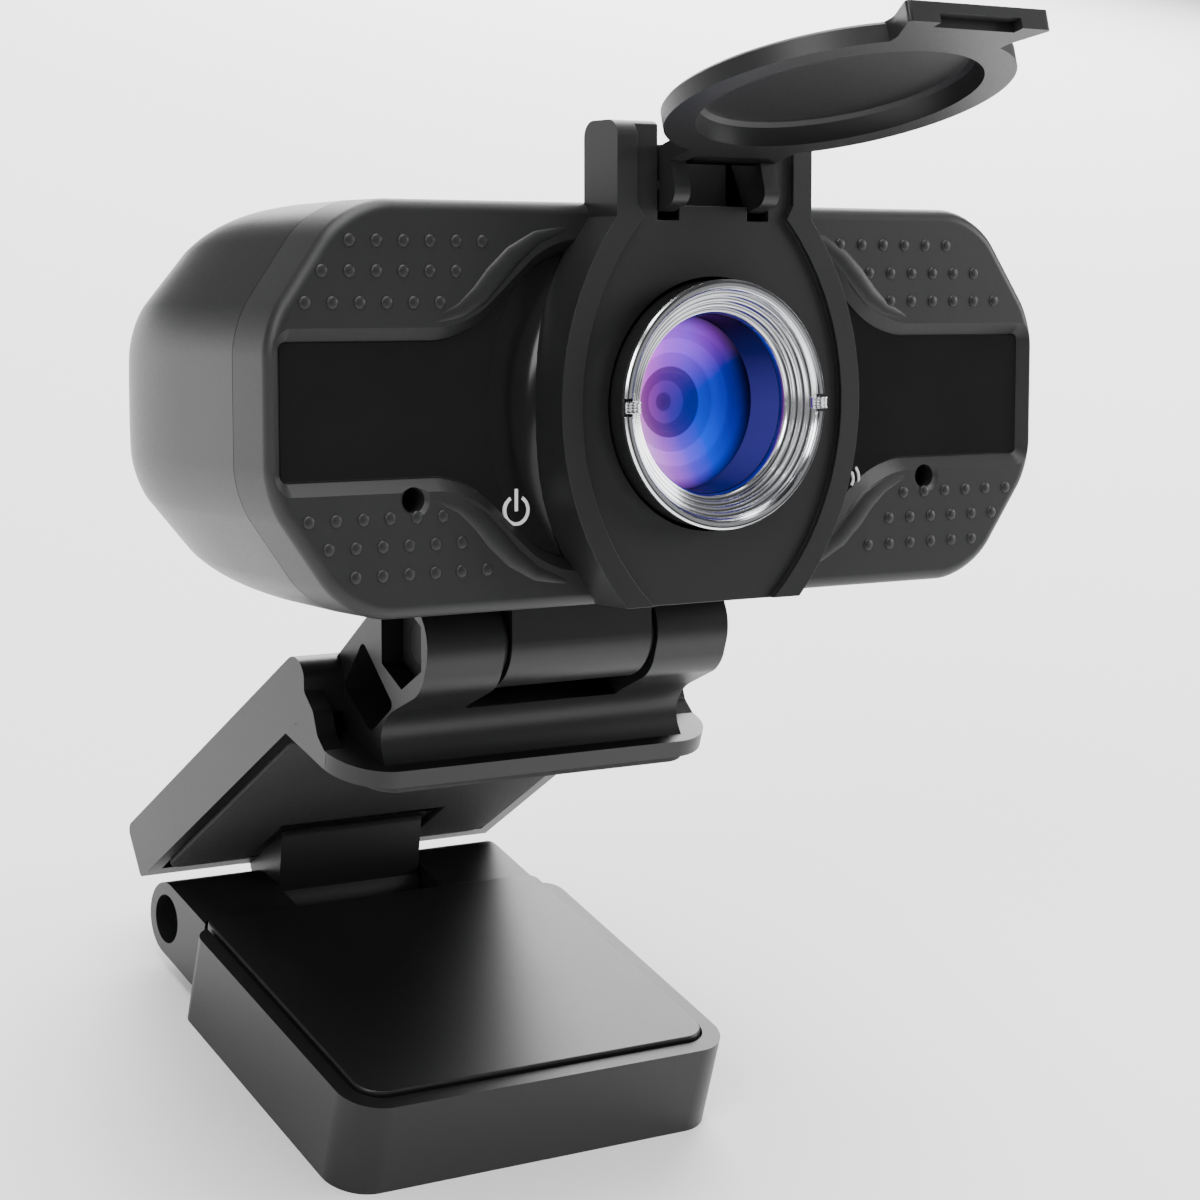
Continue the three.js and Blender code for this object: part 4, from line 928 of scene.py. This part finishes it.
def leg_frame(sizes):
    """Takes a shape drawn across the leg, up along it and in from its face to its place."""
    cos, sin = math.cos(sizes.leg_angle), math.sin(sizes.leg_angle)
    return Matrix(((1, 0, 0, 0), (0, -cos, -sin, FOLD.y), (0, sin, -cos, FOLD.z), (0, 0, 0, 1)))


def leg_up_at(sizes, z, out):
    """How far up the leg a height is reached, at a distance out from the fold axis."""
    return (z - FOLD.z - out * math.cos(sizes.leg_angle)) / math.sin(sizes.leg_angle)


def leg_block(sizes, low, high, near, far, half):
    """A square block between two places up the leg and two out from the fold axis."""
    corners = ((low, near), (high, near), (high, far), (low, far))
    return prism([leg_point(sizes, up, out) for up, out in corners], "X", -half, half)


def hexagon(flat_radius, turn):
    radius = flat_radius / math.cos(math.pi / 6)
    angles = [turn + k * math.pi / 3 for k in range(6)]
    return [(radius * math.cos(a), radius * math.sin(a)) for a in angles]


def make_bracket(sizes):
    """Leg, lip, side rims, ears and fold knuckle as one moulding."""
    half = sizes.width / 2
    face, back, crest = LEG_FACE, LEG_BACK, 52.2
    lip_front = -7.7

    def leg(up, out, radius=None):
        return leg_point(sizes, up, out, radius)

    def up_at(z, out):
        return leg_up_at(sizes, z, out)

    face_top = up_at(LIP_LOW + 4, face)
    slab = prism([
        leg(-1.1, face, 0.6), leg(-1.1, back, 1.2), leg(crest, back, 2.4),
        leg(crest, back - 3.2, 1.5), leg(face_top, face, 0.5),
    ], "X", -half, half)
    lip_half, lip_back = half - 0.006, leg(up_at(LIP_TOP, face), face)[0] + 2
    lip = both_sides([(lip_half, lip_front, 6.5), (lip_half, lip_back)])
    lip = prism(lip, "Z", LIP_LOW, LIP_TOP, 12)
    top_y, top_z = leg(crest, back - 2.4)
    root_y, _ = leg(face_top, face)
    rim = [
        (top_y + 1.6, top_z - 2), (top_y + 0.2, top_z + 0.1, 1), (top_y - 1.2, LIP_TOP + 4.4, 1.6),
        (top_y - 3.8, LIP_TOP + 3.1, 1.6), (top_y - 5.5, LIP_TOP + 0.9, 1.4),
        (top_y - 8.1, LIP_TOP - 0.3, 1.2), (top_y - 8.1, LIP_LOW + 0.4),
        (root_y - 4, LIP_LOW + 0.6, 3), leg(face_top - 2.5, face + 0.3),
    ]
    rims = [prism(rim, "X", *span(side * (half - 2.5), side * (half - 0.003)), 10) for side in SIDES]
    ear_half, gap_half, ear_front = 20.5, 10.4, TILT.y - EAR_RADIUS + 0.01
    low_corner = leg(up_at(LIP_TOP + 0.2, back), back - 2)
    column = prism([
        (TILT.y, TILT.z + EAR_RADIUS - 0.05), (TILT.y, TILT.z),
        (ear_front, TILT.z), (ear_front, TILT.z - 3.4, 4), (TILT.y + 4.2, LIP_TOP + 2.4, 6),
        (lip_front + 0.9, LIP_TOP - 0.5), (lip_front + 0.9, LIP_LOW + 0.5),
        (low_corner[0] - 6, LIP_LOW + 0.5), low_corner, leg(up_at(TILT.z + 1, back), back, 3),
    ], "X", -ear_half, ear_half, 12)
    hollow = [
        (TILT.y + 8, TILT.z - 3, 0.8), (TILT.y - 0.6, TILT.z - 7.2, 0.8),
        (TILT.y + 3.2, LIP_TOP + 2.2, 1), (TILT.y + 10.5, LIP_TOP + 4.6, 1),
    ]
    hollows = [prism(hollow, "X", *span(side * 12.4, side * 21.5)) for side in SIDES]
    at_tilt, at_fold = (0, TILT.y, TILT.z), (0, FOLD.y, FOLD.z)
    pad_end = up_at(LIP_LOW - 2, face)
    pocket = leg_block(sizes, 1.6, pad_end, face - 2, face + 4.6, half - 1.8)
    wall = leg_block(sizes, -1.0, 11.4, face + 0.1, face + 5, 11.4)
    knuckle_half = 10.3
    tongue = prism([
        leg(-1.5, 1.25), leg(4.25, -0.4, 1), leg(9.5, face - 0.1, 3),
        leg(11.5, face + 1.2), leg(-0.6, face + 2),
    ], "X", -knuckle_half, knuckle_half)
    ears = rod(EAR_RADIUS, 0.003 - ear_half, ear_half - 0.003, "X", at_tilt, 96)
    barrel = rod(FOLD_RADIUS, -knuckle_half, knuckle_half, "X", at_fold, 64)
    bracket = shaped(slab, add=[lip, *rims, column, ears], cut=[pocket])
    bracket = shaped(bracket, add=[wall, tongue, barrel])
    nut_way = prism(hexagon(4.3, math.radians(11.6)), "X", -21.5, -13.6)
    return shaped(bracket, cut=[
        *hollows,
        block(-gap_half, gap_half, -40, TILT.y + 9.4, TILT.z - 8.7, 90),
        rod(8.7, -gap_half, gap_half, "X", at_tilt, 64),
        moved(nut_way, at_tilt),
        rod(4.5, 16.2, 21.5, "X", at_tilt),
        rod(2.65, -22, 22, "X", at_tilt),
        rod(FOLD_BORE, -20, 20, "X", at_fold),
    ])


def make_leg_cushion(sizes):
    """The rubber sheet on the leg, notched round the fold knuckle."""
    half = sizes.width / 2 - 2.1
    low, high = 1.9, leg_up_at(sizes, LIP_LOW - 2, LEG_FACE) - 0.3
    sheet = prism(both_sides([(half, low, 2.4), (half, high, 1.2)]), "Z", -7.5, -5.9)
    bmesh.ops.transform(sheet, matrix=leg_frame(sizes), verts=sheet.verts)
    return shaped(closed(sheet), cut=[leg_block(sizes, -6, 13.1, -2, 11.8, 11.9)])


def make_knuckle():
    """The block between the ears: round about the tilt bolt, with a stub that the head turns on."""
    radius, half, seat = EAR_RADIUS, 9.5, 5.85
    neck = prism(both_sides([(radius, 0), (radius, seat, 0.8)]), "X", -half, half)
    return shaped(
        rod(radius, -half, half, "X", (0, 0, 0), 72),
        add=[neck, rod(4, 5.4, 12.2, "Z")],
        cut=[rod(2.6, -20, 20, "X"), rod(1.3, 5.8, 14, "Z")],
    )


class WEBCAM_OT_clip(bpy.types.Operator):
    """Build the clip bracket, its pads and the tilt joint"""

    bl_idname = "webcam.clip"
    bl_label = "Clip"

    def execute(self, context):
        sizes = context.scene.webcam_clip
        black = {"slot": "satin_black", "material": MATERIALS["clip"], "crease": 28}
        rubber_look = {"body": "clip", "slot": "rubber_black", "material": MATERIALS["rubber"]}
        finished("bracket", make_bracket(sizes), "clip",
                 stands_for=["clip_bracket"], edge=0.45, **black)
        finished("leg_cushion", make_leg_cushion(sizes), stands_for=["leg_pad"], **rubber_look)
        lip = both_sides([(22.1, -7.1, 3.5), (22.1, 2.88, 1)])
        lip = prism(lip, "Z", LIP_LOW - 1, LIP_LOW - 0.1, 10)
        finished("lip_cushion", lip, stands_for=["lip_pad"], **rubber_look)
        finished("knuckle", make_knuckle(), "knuckle",
                 stands_for=["tilt_knuckle"], place=KNUCKLE, edge=0.3, **black)
        return {"FINISHED"}


# ---------------------------------------------------------------- foot


def foot_outline(sizes, inset):
    x, y = sizes.width / 2 - inset, sizes.length / 2 - inset
    front, rear = max(5 - inset, 0.5), max(2.5 - inset, 0.5)
    return both_sides([(x, -y, front), (x, y, rear)])


def foot_pad_outline(inset):
    x, front, rear = 24.5 - inset, -19.2 + inset, 23.2 - inset
    radius = 3.6 - inset
    return both_sides([(x, front, radius), (x, rear, radius / 2)])


FOOT_HEIGHT = 11.5
PAD_SEAT = FOOT_HEIGHT - 0.9


def make_foot(sizes):
    """The foot as a thin-walled block, with two lugs on the fold pin and the insert's boss inside."""
    at_fold = (0, FOLD.y, FOLD.z)
    rear, lug_half, gap_half = sizes.length / 2, 24.2, 10.7
    lugs = block(-lug_half, lug_half, rear - 0.4, FOLD.y, 2.15, 11.45)
    body = shaped(
        prism(foot_outline(sizes, 0), "Z", 0, FOOT_HEIGHT, 14),
        add=[lugs, rod(FOLD_RADIUS, -lug_half, lug_half, "X", at_fold, 72)],
        cut=[
            prism(foot_pad_outline(0), "Z", PAD_SEAT, FOOT_HEIGHT + 5, 12),
            prism(foot_outline(sizes, 2), "Z", -1, PAD_SEAT - 2.2, 10),
            rod(5.45, -gap_half, gap_half, "X", at_fold, 64),
            block(-gap_half, gap_half, rear + 2.4, FOLD.y + 10, -1, 20),
            rod(FOLD_BORE, -53, 53, "X", at_fold),
        ],
    )
    boss = turned([(4.55, 1.7), (6.4, 1.7), (6.4, 9), (4.55, 9)], "Z", 64)
    return shaped(body, add=[moved(boss, (0, -9, 0))])


class WEBCAM_OT_foot(bpy.types.Operator):
    """Build the foot and its top pad"""

    bl_idname = "webcam.foot"
    bl_label = "Foot"

    def execute(self, context):
        look = {"body": "foot", "slot": "satin_black", "edge": 0.3, "crease": 28}
        finished("foot_body", make_foot(context.scene.webcam_foot), material=MATERIALS["clip"],
                 stands_for=["foot_shell"], **look)
        pad = prism(foot_pad_outline(0.3), "Z", PAD_SEAT + 0.15, FOOT_HEIGHT + 0.6, 12)
        finished("foot_plate", pad, material=MATERIALS["pad"], stands_for=["foot_top_pad"], **look)
        return {"FINISHED"}


# ---------------------------------------------------------------- carried-over pieces


class WEBCAM_OT_fittings(bpy.types.Operator):
    """Give the screws, pins, board and other small solids their finishes"""

    bl_idname = "webcam.fittings"
    bl_label = "Fittings"

    BLACKENED = ("fold_pin", "tilt_bolt", "tilt_nut", "friction_washer_left", "friction_washer_right")
    NODE_FINISH = {
        "rubber_black": "rubber",
        "satin_black": "clip",
        "face_black": "face",
        "gloss_black": "gloss",
        "silver_trim": "silver",
        "steel": "steel",
        "brass": "brass",
        "coated_glass": "glass",
        "board_green": "board",
        "chip_grey": "clip",
        "clear_plastic": "clear",
    }

    def execute(self, context):
        slots = {part["node"]: part["material_slot"] for part in frame["record"]["subparts"]}
        for node, item in frame["nodes"].items():
            dull = node in self.BLACKENED
            finish = MATERIALS["black_steel" if dull else self.NODE_FINISH[slots[node]]]
            if not item.material_slots:
                item.data.materials.append(finish)
            for place in item.material_slots:
                place.material = finish
        return {"FINISHED"}


# ---------------------------------------------------------------- stage

FOCAL_LENGTH = 85.96
CAMERA_PLACE = Vector((-180.3, -250.4, 183.8))  # in millimetres
CAMERA_RIGHT = Vector((0.8244, -0.5373, 0.1784))
CAMERA_AHEAD = Vector((0.5628, 0.7440, -0.3603))


def softbox(name, place, size, power, aim=(0, 0, 0.07)):
    """A square light that faces the webcam."""
    light = bpy.data.lights.new(name, "AREA")
    light.shape = "RECTANGLE"
    light.size = light.size_y = size
    light.energy = power
    item = bpy.data.objects.new(name, light)
    item.location = place
    item.rotation_euler = (Vector(aim) - Vector(place)).to_track_quat("-Z", "Y").to_euler()
    bpy.context.scene.collection.objects.link(item)
    return item


class WEBCAM_OT_stage(bpy.types.Operator):
    """Lay a pale floor and set the lights and the camera"""

    bl_idname = "webcam.stage"
    bl_label = "Stage"

    def execute(self, context):
        sizes = context.scene.webcam_stage
        mesh = bpy.data.meshes.new("floor")
        bm = bmesh.new()
        bmesh.ops.create_grid(bm, x_segments=1, y_segments=1, size=6)
        bm.to_mesh(mesh)
        bm.free()
        floor = bpy.data.objects.new("floor", mesh)
        context.scene.collection.objects.link(floor)
        finish = Finish("pale floor")
        finish.set(Base_Color=grey(0.86), Roughness=0.9)
        mesh.materials.append(finish.material)
        world = bpy.data.worlds.new("studio")
        world.use_nodes = True
        surround = world.node_tree.nodes["Background"].inputs
        surround["Color"].default_value = (1, 1, 1, 1)
        surround["Strength"].default_value = sizes.surround
        context.scene.world = world
        softbox("overhead", (0, 0.1, 1.3), 1.2, sizes.overhead)
        softbox("key", (-0.7, -0.3, 0.6), 0.4, sizes.key)
        softbox("back", (0.5, 0.75, 0.5), 0.8, sizes.back)
        softbox("right", (0.8, -0.25, 0.35), 0.35, sizes.right)
        lens = bpy.data.cameras.new("camera")
        lens.lens = FOCAL_LENGTH
        lens.sensor_width = 36
        lens.clip_start = 0.01
        camera = bpy.data.objects.new("camera", lens)
        context.scene.collection.objects.link(camera)
        right = CAMERA_RIGHT.normalized()
        ahead = (CAMERA_AHEAD - right * CAMERA_AHEAD.dot(right)).normalized()
        up = right.cross(ahead)
        turn = Matrix((right, up, -ahead)).transposed().to_4x4()
        camera.matrix_world = Matrix.Translation(CAMERA_PLACE * MM) @ turn
        context.scene.camera = camera
        return {"FINISHED"}


# ---------------------------------------------------------------- settings, panel and registration


def amount(name, description, default):
    return bpy.props.FloatProperty(name=name, description=description, default=default, min=0)


def length(name, description, default):
    return amount(name, description + ", in millimetres", default)


class WebcamHeadSizes(bpy.types.PropertyGroup):
    """Sizes of the camera bar, in millimetres"""

    width: length("Width", "Width of the bar", 100.0)
    height: length("Height", "Height of the bar", 41.9)
    depth: length("Depth", "Depth of the bar behind its face's side edge", 44.0)
    corner_across: length("Corner across", "Width of the cut corner", 9.0)
    corner_down: length("Corner down", "Height of the cut corner", 12.5)
    corner_radius: length("Corner radius", "Rounding of the cut corner", 9.5)
    face_proud: length("Face stand-off", "How far the face stands before its side edge", 1.4)
    squareness: amount("Squareness", "How square the dome is seen from above", 5.3)
    crown: amount("Crown", "How square the dome is seen from the side", 4.5)
    softening: amount("Softening", "How far the cut corners melt away towards the rear", 0.35)
    panel_half_length: length("Panel half length", "Half the gloss panel's length", 48.3)
    panel_half_height: length("Panel half height", "Half the gloss panel's height", 7.0)
    cover_half_width: length("Cover half width", "Half the width of the cover's base", 19.4)
    cover_side_radius: length("Cover side radius", "Radius of the cover base's sides", 31.0)


class WebcamClipSizes(bpy.types.PropertyGroup):
    """Sizes of the folding clip"""

    width: length("Width", "Width of the clip", 51.4)
    leg_angle: bpy.props.FloatProperty(
        name="Leg angle", description="Slope of the leg", default=math.radians(49.4), subtype="ANGLE",
    )


class WebcamFootSizes(bpy.types.PropertyGroup):
    """Sizes of the foot, in millimetres"""

    width: length("Width", "Width of the foot", 53.0)
    length: length("Length", "Length of the foot's block", 42.4)


class WebcamColours(bpy.types.PropertyGroup):
    """Tones of the plastics"""

    shell_tone: amount("Shell tone", "Brightness of the domed shell", 0.007)
    clip_tone: amount("Clip tone", "Brightness of the clip and foot", 0.008)
    face_tone: amount("Face tone", "Brightness of the face", 0.011)
    cover_tone: amount("Cover tone", "Brightness of the privacy cover", 0.009)


class WebcamStage(bpy.types.PropertyGroup):
    """Strength of the lights"""

    surround: amount("Surround", "Strength of the surrounding light", 0.25)
    overhead: amount("Overhead", "Power of the overhead light in watts", 36.0)
    key: amount("Key", "Power of the left light in watts", 5.0)
    back: amount("Back", "Power of the light behind in watts", 20.0)
    right: amount("Right", "Power of the right light in watts", 4.0)


OPERATORS = (
    WEBCAM_OT_fittings, WEBCAM_OT_head, WEBCAM_OT_marks, WEBCAM_OT_cover,
    WEBCAM_OT_lens, WEBCAM_OT_clip, WEBCAM_OT_foot, WEBCAM_OT_stage,
)
GROUPS = {
    "webcam_head": WebcamHeadSizes,
    "webcam_clip": WebcamClipSizes,
    "webcam_foot": WebcamFootSizes,
    "webcam_colours": WebcamColours,
    "webcam_stage": WebcamStage,
}


class VIEW3D_PT_webcam(bpy.types.Panel):
    """Lists the steps that build the webcam"""

    bl_label = "Webcam"
    bl_space_type = "VIEW_3D"
    bl_region_type = "UI"
    bl_category = "Webcam"

    def draw(self, context):
        for operator in OPERATORS:
            self.layout.operator(operator.bl_idname)


def register():
    for item in (*GROUPS.values(), *OPERATORS, VIEW3D_PT_webcam):
        bpy.utils.register_class(item)
    for name, group in GROUPS.items():
        setattr(bpy.types.Scene, name, bpy.props.PointerProperty(type=group))


def unregister():
    for name in GROUPS:
        delattr(bpy.types.Scene, name)
    for item in (VIEW3D_PT_webcam, *reversed(OPERATORS), *reversed(list(GROUPS.values()))):
        bpy.utils.unregister_class(item)


def main():
    register()
    MATERIALS.update(finishes(bpy.context.scene.webcam_colours))
    for operator in OPERATORS:
        getattr(bpy.ops.webcam, operator.bl_idname.split(".")[1])()


if __name__ == "__main__":
    main()
